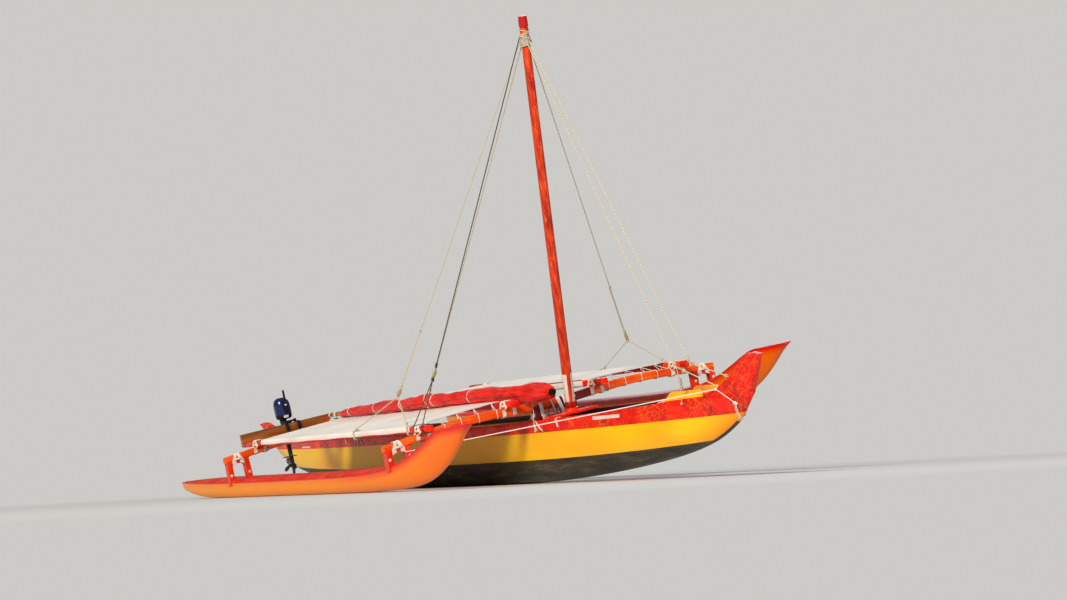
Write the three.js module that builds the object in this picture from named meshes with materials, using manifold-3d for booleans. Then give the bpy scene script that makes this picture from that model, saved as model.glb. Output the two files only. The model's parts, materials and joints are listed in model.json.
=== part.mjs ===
// Double-outrigger sailing canoe, drawn up on level ground and leaning on its starboard float.
// Millimetres. Boat axes: X forward, Y to port, Z up from the underside of the keel amidships.

import * as THREE from 'three';
import { mergeVertices } from 'three/addons/utils/BufferGeometryUtils.js';
import Module from 'manifold-3d';

const wasm = await Module();
wasm.setup();

// Driving dimensions
const GAP = 0.3;
const CROSSBEAM_X = 2400;
const FLOAT_Y = 2000;
const STRINGER_IN_Y = 577;
const STRINGER_OUT_Y = 1670;
const SHELL = 12;
const HULL_STEP = 400;
const HULL_JOIN_X = CROSSBEAM_X;
const BOTTOM_JOIN_X = 250;
const COCKPIT_END_X = 5650;
const DECK_START_X = 4950;
const MANU_START_X = 5755;
const DECK_THICK = 12;
const STERN_SHARE = 0.903;
const STERN_RISE = 0.5;

// Hull stations: x, half beam at the sheer, keel height, sheer height. The stern has the same
// stations as the bow, but beyond the crossbeam they stand closer together.
const HULL_STATIONS = [
  { x: 0, beam: 300, keel: 0, sheer: 755 },
  { x: 1200, beam: 298, keel: 0, sheer: 758 },
  { x: 2400, beam: 286, keel: 30, sheer: 768 },
  { x: 3400, beam: 262, keel: 85, sheer: 785 },
  { x: 4300, beam: 224, keel: 160, sheer: 805 },
  { x: 5100, beam: 168, keel: 255, sheer: 825 },
  { x: 5700, beam: 115, keel: 375, sheer: 836 },
  { x: 6160, beam: 70, keel: 545, sheer: 840 },
  { x: 6310, beam: 56, keel: 650, sheer: 840 },
  { x: 6500, beam: 40, keel: 815, sheer: 840 },
];
const BILGE_SHARE = 0.55;
const BILGE_BEAM = 0.91;
const BILGE_STEPS = 6;

// Upswept end piece: x, half width, underside, top
const MANU_STATIONS = [
  { x: 5755, half: 109, low: 840, top: 872 },
  { x: 5950, half: 90, low: 840, top: 906 },
  { x: 6150, half: 70, low: 840, top: 982 },
  { x: 6320, half: 55, low: 840, top: 1074 },
  { x: 6500, half: 42, low: 840, top: 1196 },
  { x: 6545, half: 39, low: 866, top: 1216 },
  { x: 6680, half: 36, low: 1040, top: 1224 },
  { x: 6785, half: 32, low: 1186, top: 1200 },
];

// Float stations: x, underside, deck edge, half width, deck crown
const FLOAT_STATIONS = [
  { x: -4450, low: 500, deck: 606, half: 34, crown: 6 },
  { x: -4150, low: 442, deck: 602, half: 72, crown: 20 },
  { x: -3650, low: 396, deck: 597, half: 112, crown: 36 },
  { x: -2900, low: 380, deck: 592, half: 142, crown: 48 },
  { x: 0, low: 380, deck: 588, half: 150, crown: 50 },
  { x: 1500, low: 383, deck: 602, half: 150, crown: 50 },
  { x: 2100, low: 396, deck: 632, half: 147, crown: 48 },
  { x: 2500, low: 412, deck: 680, half: 140, crown: 42 },
  { x: 2900, low: 446, deck: 768, half: 126, crown: 32 },
  { x: 3250, low: 520, deck: 884, half: 106, crown: 20 },
  { x: 3640, low: 664, deck: 1018, half: 82, crown: 8 },
  { x: 3930, low: 820, deck: 1036, half: 64, crown: 5 },
  { x: 4140, low: 958, deck: 1046, half: 50, crown: 4 },
  { x: 4290, low: 1044, deck: 1056, half: 38, crown: 2 },
];

// Crossbeam stations: distance from the centreline, top height, depth
const CROSSBEAM_STATIONS = [
  { y: 0, top: 965, depth: 97 },
  { y: 300, top: 978, depth: 97 },
  { y: 650, top: 995, depth: 97 },
  { y: 1000, top: 1003, depth: 95 },
  { y: 1300, top: 992, depth: 91 },
  { y: 1600, top: 966, depth: 86 },
  { y: 2165, top: 915, depth: 78 },
];
const CROSSBEAM_WIDTH = 80;
const CROSSBEAM_EASE = 16;
const CROSSBEAM_STEP = 175;

const PAINT = {
  hull: 0xf2a900,
  red: 0xd8321a,
  black: 0x17181c,
  orange: 0xe05a1c,
  maroon: 0x7c1f1c,
  cloth: 0xe9e6df,
  sail: 0xc9202c,
  rope: 0xf0e8d8,
  wood: 0xb98a4f,
  navy: 0x1d2c56,
  metal: 0x8f9296,
};

const boat = new THREE.Group();

function addPart(name, geometry, color, roughness = 0.5, metalness = 0) {
  const material = new THREE.MeshStandardMaterial({ color, roughness, metalness });
  const mesh = new THREE.Mesh(geometry, material);
  mesh.name = name;
  boat.add(mesh);
  return mesh;
}

// Solids and cuts

function toSolid(geometry) {
  const bare = geometry.clone();
  bare.deleteAttribute('normal');
  bare.deleteAttribute('uv');
  const merged = mergeVertices(bare, 1e-3);
  const vertProperties = new Float32Array(merged.attributes.position.array);
  const triVerts = new Uint32Array(merged.index.array);
  return new wasm.Manifold(new wasm.Mesh({ numProp: 3, vertProperties, triVerts }));
}

function toGeometry(solid) {
  const mesh = solid.getMesh();
  const geometry = new THREE.BufferGeometry();
  geometry.setAttribute('position', new THREE.BufferAttribute(mesh.vertProperties, 3));
  geometry.setIndex(new THREE.BufferAttribute(mesh.triVerts, 1));
  return geometry;
}

function joined(geometries) {
  return toGeometry(geometries.map(toSolid).reduce((whole, piece) => whole.add(piece)));
}

function cutBy(geometry, cutters) {
  const whole = toSolid(geometry);
  return toGeometry(cutters.map(toSolid).reduce((rest, cutter) => rest.subtract(cutter), whole));
}

function insideOf(geometry, limits) {
  return toGeometry(toSolid(geometry).intersect(toSolid(limits)));
}

// Closed skin over a row of rings with equal numbers of points
function loft(rings) {
  const count = rings[0].length;
  const points = rings.flat();
  const faces = [];
  for (let i = 0; i + 1 < rings.length; i += 1) {
    for (let j = 0; j < count; j += 1) {
      const k = (j + 1) % count;
      const a = i * count + j;
      const b = i * count + k;
      faces.push(a, b, a + count, b, b + count, a + count);
    }
  }
  [0, rings.length - 1].forEach((i) => {
    const middle = new THREE.Vector3();
    rings[i].forEach((point) => middle.addScaledVector(point, 1 / count));
    points.push(middle);
    for (let j = 0; j < count; j += 1) {
      const k = (j + 1) % count;
      const pair = i === 0 ? [k, j] : [j, k];
      faces.push(points.length - 1, i * count + pair[0], i * count + pair[1]);
    }
  });
  const geometry = new THREE.BufferGeometry().setFromPoints(points);
  geometry.setIndex(volumeOf(points, faces) < 0 ? faces.reverse() : faces);
  return geometry;
}

function volumeOf(points, faces) {
  const cross = new THREE.Vector3();
  let sum = 0;
  for (let i = 0; i < faces.length; i += 3) {
    cross.crossVectors(points[faces[i + 1]], points[faces[i + 2]]);
    sum += points[faces[i]].dot(cross);
  }
  return sum;
}

function block(low, high) {
  const size = high.map((value, axis) => value - low[axis]);
  const geometry = new THREE.BoxGeometry(...size);
  return geometry.translate(...low.map((value, axis) => value + size[axis] / 2));
}

// Round bar between two points, each given as [x, y, z]
function bar(from, to, radius, endRadius = radius, sides = 12) {
  const start = new THREE.Vector3(...from);
  const run = new THREE.Vector3(...to).sub(start);
  const geometry = new THREE.CylinderGeometry(endRadius, radius, run.length(), sides);
  const up = new THREE.Vector3(0, 1, 0);
  const turn = new THREE.Quaternion().setFromUnitVectors(up, run.clone().normalize());
  geometry.applyQuaternion(turn);
  const middle = start.addScaledVector(run, 0.5);
  return geometry.translate(middle.x, middle.y, middle.z);
}

function ball(centre, radius, sides = 8) {
  return new THREE.SphereGeometry(radius, sides, 6).translate(...centre);
}

// Smooth value of one column of a station table at the given place
function faired(table, place, key, column) {
  const last = table.length - 1;
  const value = THREE.MathUtils.clamp(place, table[0][key], table[last][key]);
  let i = 0;
  while (i < last - 1 && table[i + 1][key] < value) i += 1;
  const slope = (n) => {
    const before = table[Math.max(n - 1, 0)];
    const after = table[Math.min(n + 1, last)];
    return (after[column] - before[column]) / (after[key] - before[key]);
  };
  const span = table[i + 1][key] - table[i][key];
  const t = (value - table[i][key]) / span;
  const fromSlope = i === 0 && table[0][key] === 0 ? 0 : slope(i);
  const bend = t * t * (3 - 2 * t);
  return table[i][column] + (table[i + 1][column] - table[i][column]) * bend
    + fromSlope * span * (t - 2 * t * t + t ** 3) + slope(i + 1) * span * (t ** 3 - t * t);
}

function places(low, high, step) {
  const count = Math.ceil((high - low) / step - 1e-9);
  return Array.from({ length: count + 1 }, (_, i) => low + ((high - low) * i) / count);
}

// Hull

// Point along the boat for a station, at the bow (end 1) or the stern (end -1)
function along(end, place) {
  const beyond = place - CROSSBEAM_X;
  return end < 0 && beyond > 0 ? -CROSSBEAM_X - beyond * STERN_SHARE : end * place;
}

// Station for a point along the boat
function placeOf(x) {
  const beyond = -x - CROSSBEAM_X;
  return beyond > 0 ? CROSSBEAM_X + beyond / STERN_SHARE : Math.abs(x);
}

const COCKPIT_XS = places(along(-1, COCKPIT_END_X), COCKPIT_END_X, HULL_STEP);

function hullAt(x) {
  const place = placeOf(x);
  const read = (column) => faired(HULL_STATIONS, place, 'x', column);
  return { x, beam: read('beam'), keel: Math.max(read('keel'), 0), sheer: read('sheer') };
}

// Half breadth of the hull's side above the turn of the bilge
function sideAt(station, z) {
  const turn = station.keel + BILGE_SHARE * (station.sheer - station.keel);
  const rise = (z - turn) / (station.sheer - turn);
  return station.beam * (BILGE_BEAM + (1 - BILGE_BEAM) * rise);
}

function hullRing(x, inset) {
  const station = hullAt(x);
  const turn = station.keel + BILGE_SHARE * (station.sheer - station.keel);
  const turnBeam = station.beam * BILGE_BEAM - inset;
  const half = [[station.beam - inset, station.sheer]];
  for (let i = BILGE_STEPS; i > 0; i -= 1) {
    const angle = (i / BILGE_STEPS) * (Math.PI / 2);
    const z = turn - (turn - station.keel - inset) * Math.cos(angle);
    half.push([turnBeam * Math.sin(angle), z]);
  }
  const port = half.map(([y, z]) => new THREE.Vector3(x, y, z));
  const keel = new THREE.Vector3(x, 0, station.keel + inset);
  const starboard = half.map(([y, z]) => new THREE.Vector3(x, -y, z)).reverse();
  return [...port, keel, ...starboard];
}

function endStations() {
  return HULL_STATIONS.map((station) => station.x).filter((x) => x > COCKPIT_END_X);
}

function hullSkin() {
  const aft = endStations().map((x) => along(-1, x)).reverse();
  const xs = [...aft, ...COCKPIT_XS, ...endStations()];
  const outside = loft(xs.map((x) => hullRing(x, 0)));
  const inside = loft(COCKPIT_XS.map((x) => hullRing(x, SHELL)));
  const mouth = loft(COCKPIT_XS.map((x) => mouthRing(x)));
  return joined([cutBy(outside, [inside, mouth]), gunwale(1), gunwale(-1)]);
}

// Prism that opens the cockpit through the sheer
function mouthRing(x) {
  const station = hullAt(x);
  const half = station.beam - SHELL;
  const low = station.sheer - 60;
  const lowHalf = sideAt(station, low) - SHELL;
  const high = station.sheer + 60;
  const corners = [[half, high], [half, station.sheer], [lowHalf, low],
    [-lowHalf, low], [-half, station.sheer], [-half, high]];
  return corners.map(([y, z]) => new THREE.Vector3(x, y, z));
}

// Inner rail along the top of one side of the cockpit, bonded to the skin
const RAIL_WIDTH = 28;
const RAIL_DEPTH = 50;
function gunwale(side) {
  const rings = COCKPIT_XS.map((x) => {
    const station = hullAt(x);
    const low = station.sheer - RAIL_DEPTH;
    const outTop = station.beam - SHELL / 2;
    const outLow = sideAt(station, low) - SHELL / 2;
    const width = RAIL_WIDTH + SHELL / 2;
    const corners = [[outTop, station.sheer], [outLow, low],
      [outLow - width, low], [outTop - width, station.sheer]];
    return corners.map(([y, z]) => new THREE.Vector3(x, side * y, z));
  });
  return loft(rings);
}

// The hull is a bottom up to the turn of the bilge, in four lengths, and two sides with their
// rails, in three lengths each, with a closed end at the bow and at the stern
const BOW_LENGTH = { name: 'bow', low: HULL_JOIN_X, high: COCKPIT_END_X - GAP };
const STERN_LENGTH = { name: 'stern', low: along(-1, COCKPIT_END_X) + GAP, high: -HULL_JOIN_X };
const BOTTOM_LENGTHS = [
  BOW_LENGTH,
  { name: 'forward', low: BOTTOM_JOIN_X, high: HULL_JOIN_X - GAP },
  { name: 'after', low: GAP - HULL_JOIN_X, high: BOTTOM_JOIN_X - GAP },
  STERN_LENGTH,
];
const SIDE_LENGTHS = [
  BOW_LENGTH,
  { name: 'middle', low: GAP - HULL_JOIN_X, high: HULL_JOIN_X - GAP },
  STERN_LENGTH,
];
const REACH = 1000;

// Everything over or under the turn of the bilge, in one length and on the given side
function hullRegion(length, sideLow, sideHigh, up) {
  const rings = COCKPIT_XS.map((x) => {
    const station = hullAt(x);
    const turn = station.keel + BILGE_SHARE * (station.sheer - station.keel) + (up * GAP) / 2;
    const corners = [[sideLow, turn], [sideHigh, turn], [sideHigh, up * REACH],
      [sideLow, up * REACH]];
    return corners.map(([y, z]) => new THREE.Vector3(x, y, z));
  });
  const stretch = block([length.low, -REACH, -REACH], [length.high, REACH, REACH]);
  return insideOf(loft(rings), stretch);
}

function addHull() {
  const skin = hullSkin();
  BOTTOM_LENGTHS.forEach((length) => {
    const bottom = insideOf(skin, hullRegion(length, -REACH, REACH, -1));
    addPart(`hull_bottom_${length.name}`, bottom, PAINT.black, 0.35);
  });
  SIDE_LENGTHS.forEach((length) => {
    const port = insideOf(skin, hullRegion(length, 0, REACH, 1));
    const starboard = insideOf(skin, hullRegion(length, -REACH, 0, 1));
    addPart(`hull_side_port_${length.name}`, port, PAINT.hull, 0.35);
    addPart(`hull_side_starboard_${length.name}`, starboard, PAINT.hull, 0.35);
  });
  const far = MANU_STATIONS[MANU_STATIONS.length - 1].x;
  const bow = block([COCKPIT_END_X, -REACH, -REACH], [far, REACH, REACH]);
  const stern = block([-far, -REACH, -REACH], [along(-1, COCKPIT_END_X), REACH, REACH]);
  addPart('hull_end_bow', insideOf(skin, bow), PAINT.hull, 0.35);
  addPart('hull_end_stern', insideOf(skin, stern), PAINT.hull, 0.35);
}

function deck(end) {
  const rings = places(DECK_START_X, MANU_START_X - 5, 200).map((x) => {
    const station = hullAt(x);
    const low = station.sheer + GAP;
    const corners = [[-station.beam, low], [station.beam, low],
      [station.beam, low + DECK_THICK], [-station.beam, low + DECK_THICK]];
    return corners.map(([y, z]) => new THREE.Vector3(along(end, x), y, z));
  });
  return loft(rings);
}

// Upswept end piece, with its top edges eased
function manu(end, rise) {
  const ease = 8;
  const rings = MANU_STATIONS.map((station) => {
    const base = 840 + GAP;
    const low = base + (station.low - 840) * rise;
    const top = base + Math.max(station.top - 840, 14) * rise;
    const half = station.half;
    const corners = [[-half, low], [half, low], [half, top - ease * 0.8], [half - ease, top],
      [-half + ease, top], [-half, top - ease * 0.8]];
    return corners.map(([y, z]) => new THREE.Vector3(along(end, station.x), y, z));
  });
  return loft(rings);
}

// Yellow board that stands on one edge of the foredeck
const WASH_THICK = 14;
const WASH_FLARE = 4;
const WASH_STATIONS = [
  { x: 5090, height: 6 },
  { x: 5230, height: 88 },
  { x: 5480, height: 82 },
  { x: 5740, height: 70 },
];
function washBoard(side) {
  const rings = WASH_STATIONS.map(({ x, height }) => {
    const station = hullAt(x);
    const low = station.sheer + GAP + DECK_THICK + GAP;
    const top = station.beam + WASH_FLARE;
    const corners = [[station.beam, low], [top, low + height],
      [top - WASH_THICK, low + height], [station.beam - WASH_THICK, low]];
    return corners.map(([y, z]) => new THREE.Vector3(x, side * y, z));
  });
  return loft(rings);
}

addHull();
addPart('fore_deck', deck(1), PAINT.red, 0.4);
addPart('aft_deck', deck(-1), PAINT.red, 0.4);
addPart('bow_manu', manu(1, 1), PAINT.red, 0.35);
addPart('stern_manu', manu(-1, STERN_RISE), PAINT.red, 0.35);
addPart('wash_board_port', washBoard(1), PAINT.hull, 0.4);
addPart('wash_board_starboard', washBoard(-1), PAINT.hull, 0.4);

// Seats across the cockpit, each resting between the hull's sides
const SEAT_X = [3750, 1500, 250, -1000, -3250, -4300];
const SEAT_TOP = 520;
const SEAT_THICK = 28;
const SEAT_LENGTH = 240;
const seatRoom = loft(COCKPIT_XS.map((x) => hullRing(x, SHELL + GAP)));
SEAT_X.forEach((x, index) => {
  const rear = x - SEAT_LENGTH / 2;
  const board = block([rear, -400, SEAT_TOP - SEAT_THICK], [rear + SEAT_LENGTH, 400, SEAT_TOP]);
  addPart(`seat_${index + 1}`, insideOf(board, seatRoom), PAINT.wood, 0.5);
});

// Crossbeams

function crossbeamRing(x, y, grow) {
  const place = Math.abs(y);
  const top = faired(CROSSBEAM_STATIONS, place, 'y', 'top') + grow;
  const low = top - faired(CROSSBEAM_STATIONS, place, 'y', 'depth') - 2 * grow;
  const half = CROSSBEAM_WIDTH / 2 + grow;
  const ease = CROSSBEAM_EASE;
  const corners = [[half, low + ease], [half, top - ease], [half - ease, top], [ease - half, top],
    [-half, top - ease], [-half, low + ease], [ease - half, low], [half - ease, low]];
  return corners.map(([dx, z]) => new THREE.Vector3(x + dx, y, z));
}

function crossbeam(x, grow = 0) {
  const reach = CROSSBEAM_STATIONS[CROSSBEAM_STATIONS.length - 1].y;
  return loft(places(-reach, reach, CROSSBEAM_STEP).map((y) => crossbeamRing(x, y, grow)));
}

function crossbeamLow(y) {
  const place = Math.abs(y);
  const depth = faired(CROSSBEAM_STATIONS, place, 'y', 'depth');
  return faired(CROSSBEAM_STATIONS, place, 'y', 'top') - depth;
}

// Chock that lifts a crossbeam off the two sides of the hull
const CHOCK_HALF = 85;
const CHOCK_REACH = 292;
const CHOCK_THICK = 34;
const CHOCK_TOP = 925;
const PAD_Y = 215;
const PAD_HALF = 62;
function saddle(x) {
  const sheer = Math.max(hullAt(x - CHOCK_HALF).sheer, hullAt(x + CHOCK_HALF).sheer);
  const floor = sheer + GAP;
  const top = floor + CHOCK_THICK;
  const board = block([x - CHOCK_HALF, -CHOCK_REACH, floor], [x + CHOCK_HALF, CHOCK_REACH, top]);
  const pads = [-PAD_Y, PAD_Y].map((y) => block(
    [x - 60, y - PAD_HALF, floor + 20],
    [x + 60, y + PAD_HALF, CHOCK_TOP],
  ));
  return cutBy(joined([board, ...pads]), [crossbeam(x, GAP)]);
}

const BEAMS = [{ name: 'front', x: CROSSBEAM_X }, { name: 'rear', x: -CROSSBEAM_X }];
const SIDES = [{ name: 'port', side: 1 }, { name: 'starboard', side: -1 }];
BEAMS.forEach(({ name, x }) => {
  addPart(`crossbeam_${name}`, crossbeam(x), PAINT.orange, 0.35);
  addPart(`crossbeam_chock_${name}`, saddle(x), PAINT.maroon, 0.5);
});

// Floats

function floatAt(x) {
  const read = (column) => faired(FLOAT_STATIONS, x, 'x', column);
  return { low: read('low'), deck: read('deck'), half: read('half'), crown: read('crown') };
}

function floatRing(x, side, grow) {
  const { low, deck: edge, half, crown } = floatAt(x);
  const steps = 10;
  const ring = [];
  for (let i = 0; i <= steps; i += 1) {
    const angle = (i / steps) * Math.PI;
    const z = edge - (edge - low + grow) * Math.sin(angle) ** 0.8;
    ring.push(new THREE.Vector3(x, side * FLOAT_Y + (half + grow) * Math.cos(angle), z));
  }
  for (let i = 1; i < 6; i += 1) {
    const angle = (i / 6) * Math.PI;
    const z = edge + (crown + grow) * Math.sin(angle);
    ring.push(new THREE.Vector3(x, side * FLOAT_Y - (half + grow) * Math.cos(angle), z));
  }
  return ring;
}

const FLOAT_XS = [-4450, -4300, -4150, -3900, -3650, -3300, -2900, -2400, -1200, 0, 1200, 1800,
  2100, 2300, 2500, 2700, 2900, 3075, 3250, 3450, 3640, 3780, 3930, 4040, 4140, 4225, 4290];
function float(side, grow = 0) {
  return loft(FLOAT_XS.map((x) => floatRing(x, side, grow)));
}

// Arched support between a float's deck and the end of a crossbeam
const PYLON_THICK = 92;
const PYLON_HALF = 158;
const PYLON_LEG = 70;
function pylon(x, side) {
  const foot = floatAt(x).deck - 40;
  const head = crossbeamLow(FLOAT_Y - PYLON_HALF) + 4;
  const shape = new THREE.Shape();
  shape.moveTo(-PYLON_HALF, foot);
  shape.lineTo(-PYLON_HALF + 8, head);
  shape.lineTo(PYLON_HALF - 8, head);
  shape.lineTo(PYLON_HALF, foot);
  shape.lineTo(PYLON_HALF - PYLON_LEG, foot);
  const opening = PYLON_HALF - PYLON_LEG;
  const spring = crossbeamLow(FLOAT_Y) - 62;
  shape.absellipse(0, spring, opening - 4, 34, 0, Math.PI, false);
  shape.lineTo(-opening, foot);
  const body = new THREE.ExtrudeGeometry(shape, {
    depth: PYLON_THICK,
    bevelEnabled: false,
    curveSegments: 8,
  });
  body.rotateX(Math.PI / 2);
  body.rotateZ(Math.PI / 2);
  body.translate(x - PYLON_THICK / 2, side * FLOAT_Y, 0);
  const over = block([x - 200, side * FLOAT_Y - 400, 860], [x + 200, side * FLOAT_Y + 400, 1200]);
  return cutBy(body, [float(side, GAP), crossbeam(x, GAP), over]);
}

SIDES.forEach(({ name, side }) => {
  addPart(`float_${name}`, float(side), PAINT.hull, 0.35);
  BEAMS.forEach((beam) => {
    addPart(`pylon_${beam.name}_${name}`, pylon(beam.x, side), PAINT.orange, 0.4);
  });
});

// Stringers along the crossbeams, and the cloth that they carry

const STRINGER_HALF = 37;
const STRINGER_EASE = 13;
const STRINGER_FRONT_X = 2660;
const STRINGER_REAR_X = -2880;
function stringerMiddle(y) {
  return faired(CROSSBEAM_STATIONS, Math.abs(y), 'y', 'top') + STRINGER_HALF - 3;
}

function stringerBody(y, grow) {
  const half = STRINGER_HALF + grow;
  const ease = STRINGER_EASE;
  const z = stringerMiddle(y);
  const corners = [[half, half - ease], [half - ease, half], [ease - half, half], [-half, half - ease],
    [-half, ease - half], [ease - half, -half], [half - ease, -half], [half, ease - half]];
  const ends = [STRINGER_REAR_X - grow, STRINGER_FRONT_X + grow];
  return loft(ends.map((x) => corners.map(([dy, dz]) => new THREE.Vector3(x, y + dy, z + dz))));
}

function stringer(y) {
  return cutBy(stringerBody(y, 0), BEAMS.map(({ x }) => crossbeam(x, GAP)));
}

const CLOTH_THICK = 8;
const CLOTH_FRONT_X = 2230;
const CLOTH_REAR_X = -2230;
const CLOTH_IN_Y = 552;
const CLOTH_OUT_Y = 1650;
function trampoline(side, grow = 0) {
  const inner = stringerMiddle(STRINGER_IN_Y) + STRINGER_HALF;
  const outer = stringerMiddle(STRINGER_OUT_Y) + STRINGER_HALF;
  const slope = (outer - inner) / (STRINGER_OUT_Y - STRINGER_IN_Y);
  const clear = GAP + Math.abs(slope) * (STRINGER_HALF - STRINGER_EASE);
  const height = (y) => inner + slope * (y - STRINGER_IN_Y) + clear;
  const rings = [CLOTH_REAR_X - grow, CLOTH_FRONT_X + grow].map((x) => {
    const corners = [[CLOTH_IN_Y - grow, -grow], [CLOTH_OUT_Y + grow, -grow],
      [CLOTH_OUT_Y + grow, CLOTH_THICK + grow], [CLOTH_IN_Y - grow, CLOTH_THICK + grow]];
    return corners.map(([y, dz]) => new THREE.Vector3(x, side * y, height(y) + dz));
  });
  return loft(rings);
}

SIDES.forEach(({ name, side }) => {
  addPart(`stringer_inner_${name}`, stringer(side * STRINGER_IN_Y), PAINT.red, 0.4);
  addPart(`stringer_outer_${name}`, stringer(side * STRINGER_OUT_Y), PAINT.red, 0.4);
  addPart(`trampoline_${name}`, trampoline(side), PAINT.cloth, 0.85);
});

// Mast, raked forward over its step

const MAST_FOOT = new THREE.Vector3(2790, 0, 806);
const MAST_HEAD = new THREE.Vector3(3620, 0, 5130);
const MAST_LENGTH = MAST_HEAD.distanceTo(MAST_FOOT);
const MAST_RADIUS = 57;
const MAST_TOP_RADIUS = 46;
const SLEEVE_HEIGHT = 110;
const CAP_HEIGHT = 120;
const STAY_HEIGHT = 4130;
const LASHING_HALF = 60;
const LASHING_THICK = 12;

function alongMast(distance) {
  const point = MAST_FOOT.clone().lerp(MAST_HEAD, distance / MAST_LENGTH);
  return [point.x, point.y, point.z];
}

function mastRadius(distance) {
  return THREE.MathUtils.lerp(MAST_RADIUS, MAST_TOP_RADIUS, distance / MAST_LENGTH);
}

function mastLashing() {
  const low = STAY_HEIGHT - LASHING_HALF;
  const high = STAY_HEIGHT + LASHING_HALF;
  const radii = [low, high].map((distance) => mastRadius(distance) + LASHING_THICK);
  const outside = bar(alongMast(low), alongMast(high), ...radii, 20);
  const holeRadii = [MAST_RADIUS + 2 * GAP, MAST_TOP_RADIUS + 2 * GAP];
  const hole = bar(alongMast(SLEEVE_HEIGHT), alongMast(MAST_LENGTH), ...holeRadii, 20);
  return cutBy(outside, [hole]);
}

function mastStep() {
  const floor = hullAt(MAST_FOOT.x + 130).sheer + GAP;
  const board = block([MAST_FOOT.x - 130, -280, floor], [MAST_FOOT.x + 130, 280, floor + 30]);
  const cup = bar([MAST_FOOT.x, 0, floor + 10], [MAST_FOOT.x + 8, 0, floor + 72], 86, 80, 20);
  const well = bar(alongMast(0), alongMast(SLEEVE_HEIGHT + 50), 62 + GAP, 62 + GAP, 20);
  const over = block([MAST_FOOT.x - 200, -200, floor + 68], [MAST_FOOT.x + 200, 200, floor + 200]);
  return cutBy(joined([board, cup]), [well, over]);
}

addPart('mast_step', mastStep(), PAINT.maroon, 0.5);
addPart('mast_sleeve', bar(alongMast(GAP), alongMast(SLEEVE_HEIGHT), 62, 60, 20), PAINT.red, 0.5);
const mastEnd = MAST_LENGTH - CAP_HEIGHT;
const mastBody = bar(
  alongMast(SLEEVE_HEIGHT + GAP),
  alongMast(mastEnd),
  MAST_RADIUS,
  MAST_TOP_RADIUS,
  20,
);
addPart('mast', mastBody, PAINT.orange, 0.35);
addPart('mast_cap', bar(alongMast(mastEnd + GAP), alongMast(MAST_LENGTH), 52, 48, 20), PAINT.red, 0.4);
addPart('mast_lashing', mastLashing(), PAINT.rope, 0.9);

// Furled sail on the starboard side, wrapped round its boom

// Bundle stations: x, y, z, radius
const BUNDLE_STATIONS = [
  { x: -2050, y: -625, z: 1120, radius: 42 },
  { x: -1700, y: -622, z: 1137, radius: 62 },
  { x: -900, y: -610, z: 1147, radius: 78 },
  { x: 300, y: -580, z: 1157, radius: 90 },
  { x: 1300, y: -500, z: 1150, radius: 96 },
  { x: 2000, y: -410, z: 1124, radius: 108 },
  { x: 2500, y: -345, z: 1098, radius: 122 },
  { x: 2800, y: -315, z: 1080, radius: 116 },
  { x: 2960, y: -300, z: 1072, radius: 84 },
];
const BOOM_RADIUS = 27;
const BOOM_FRONT_X = 3040;
const BOOM_REAR_X = -2420;

function bundleAt(x) {
  const read = (column) => faired(BUNDLE_STATIONS, x, 'x', column);
  return { y: read('y'), z: read('z'), radius: read('radius') };
}

function bundleRing(x, grow) {
  const { y, z, radius } = bundleAt(x);
  const steps = 14;
  return Array.from({ length: steps }, (_, i) => {
    const angle = (i / steps) * Math.PI * 2;
    return new THREE.Vector3(
      x,
      y + (radius * 1.06 + grow) * Math.cos(angle),
      z + (radius * 0.94 + grow) * Math.sin(angle),
    );
  });
}

function bundle(grow = 0) {
  return loft(places(-2050, 2960, 250).map((x) => bundleRing(x, grow)));
}

function boom(grow = 0) {
  const steps = 10;
  const rings = places(BOOM_REAR_X, BOOM_FRONT_X, 455).map((x) => {
    const { y, z } = bundleAt(x);
    const raise = 6;
    return Array.from({ length: steps }, (_, i) => {
      const angle = (i / steps) * Math.PI * 2;
      const reach = BOOM_RADIUS + grow;
      return new THREE.Vector3(x, y + reach * Math.cos(angle), z + raise + reach * Math.sin(angle));
    });
  });
  return loft(rings);
}

const bundleSeats = [
  crossbeam(CROSSBEAM_X, GAP), stringerBody(-STRINGER_IN_Y, GAP), trampoline(-1, GAP),
];
addPart('sail_bundle', cutBy(bundle(), [...bundleSeats, boom(GAP)]), PAINT.sail, 0.8);
addPart('boom', boom(), PAINT.wood, 0.5);

// Stays, from the lashing on the mast to the sides, the bow and the furled sail

const ROPE_RADIUS = 6;
const OUTER_Z = stringerMiddle(STRINGER_OUT_Y);
const OUTER_GRIP_Y = STRINGER_OUT_Y + 14;

function rope(points) {
  const radii = [ROPE_RADIUS, ROPE_RADIUS];
  const runs = points.slice(1).map((point, i) => bar(points[i], point, ...radii, 8));
  const bends = points.slice(1, -1).map((point) => ball(point, ROPE_RADIUS * 2.2));
  return [...runs, ...bends];
}

// Upper end of a stay: on the lashing's face, on the side that looks towards its lower end
function stayTop(rise, toward, port = 0) {
  const height = STAY_HEIGHT + rise;
  const centre = new THREE.Vector3(...alongMast(height));
  const axis = new THREE.Vector3().subVectors(MAST_HEAD, MAST_FOOT).normalize();
  const run = new THREE.Vector3(...toward).sub(centre).normalize();
  const outward = run.clone().addScaledVector(axis, -run.dot(axis)).normalize();
  const lean = Math.abs(run.dot(axis));
  const reach = mastRadius(height - LASHING_HALF) + LASHING_THICK + 2 * GAP + ROPE_RADIUS * lean;
  centre.addScaledVector(outward, reach);
  return [centre.x, centre.y + port, centre.z];
}

function stay(ropes, seats) {
  return cutBy(joined(ropes.flat()), seats);
}

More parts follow.
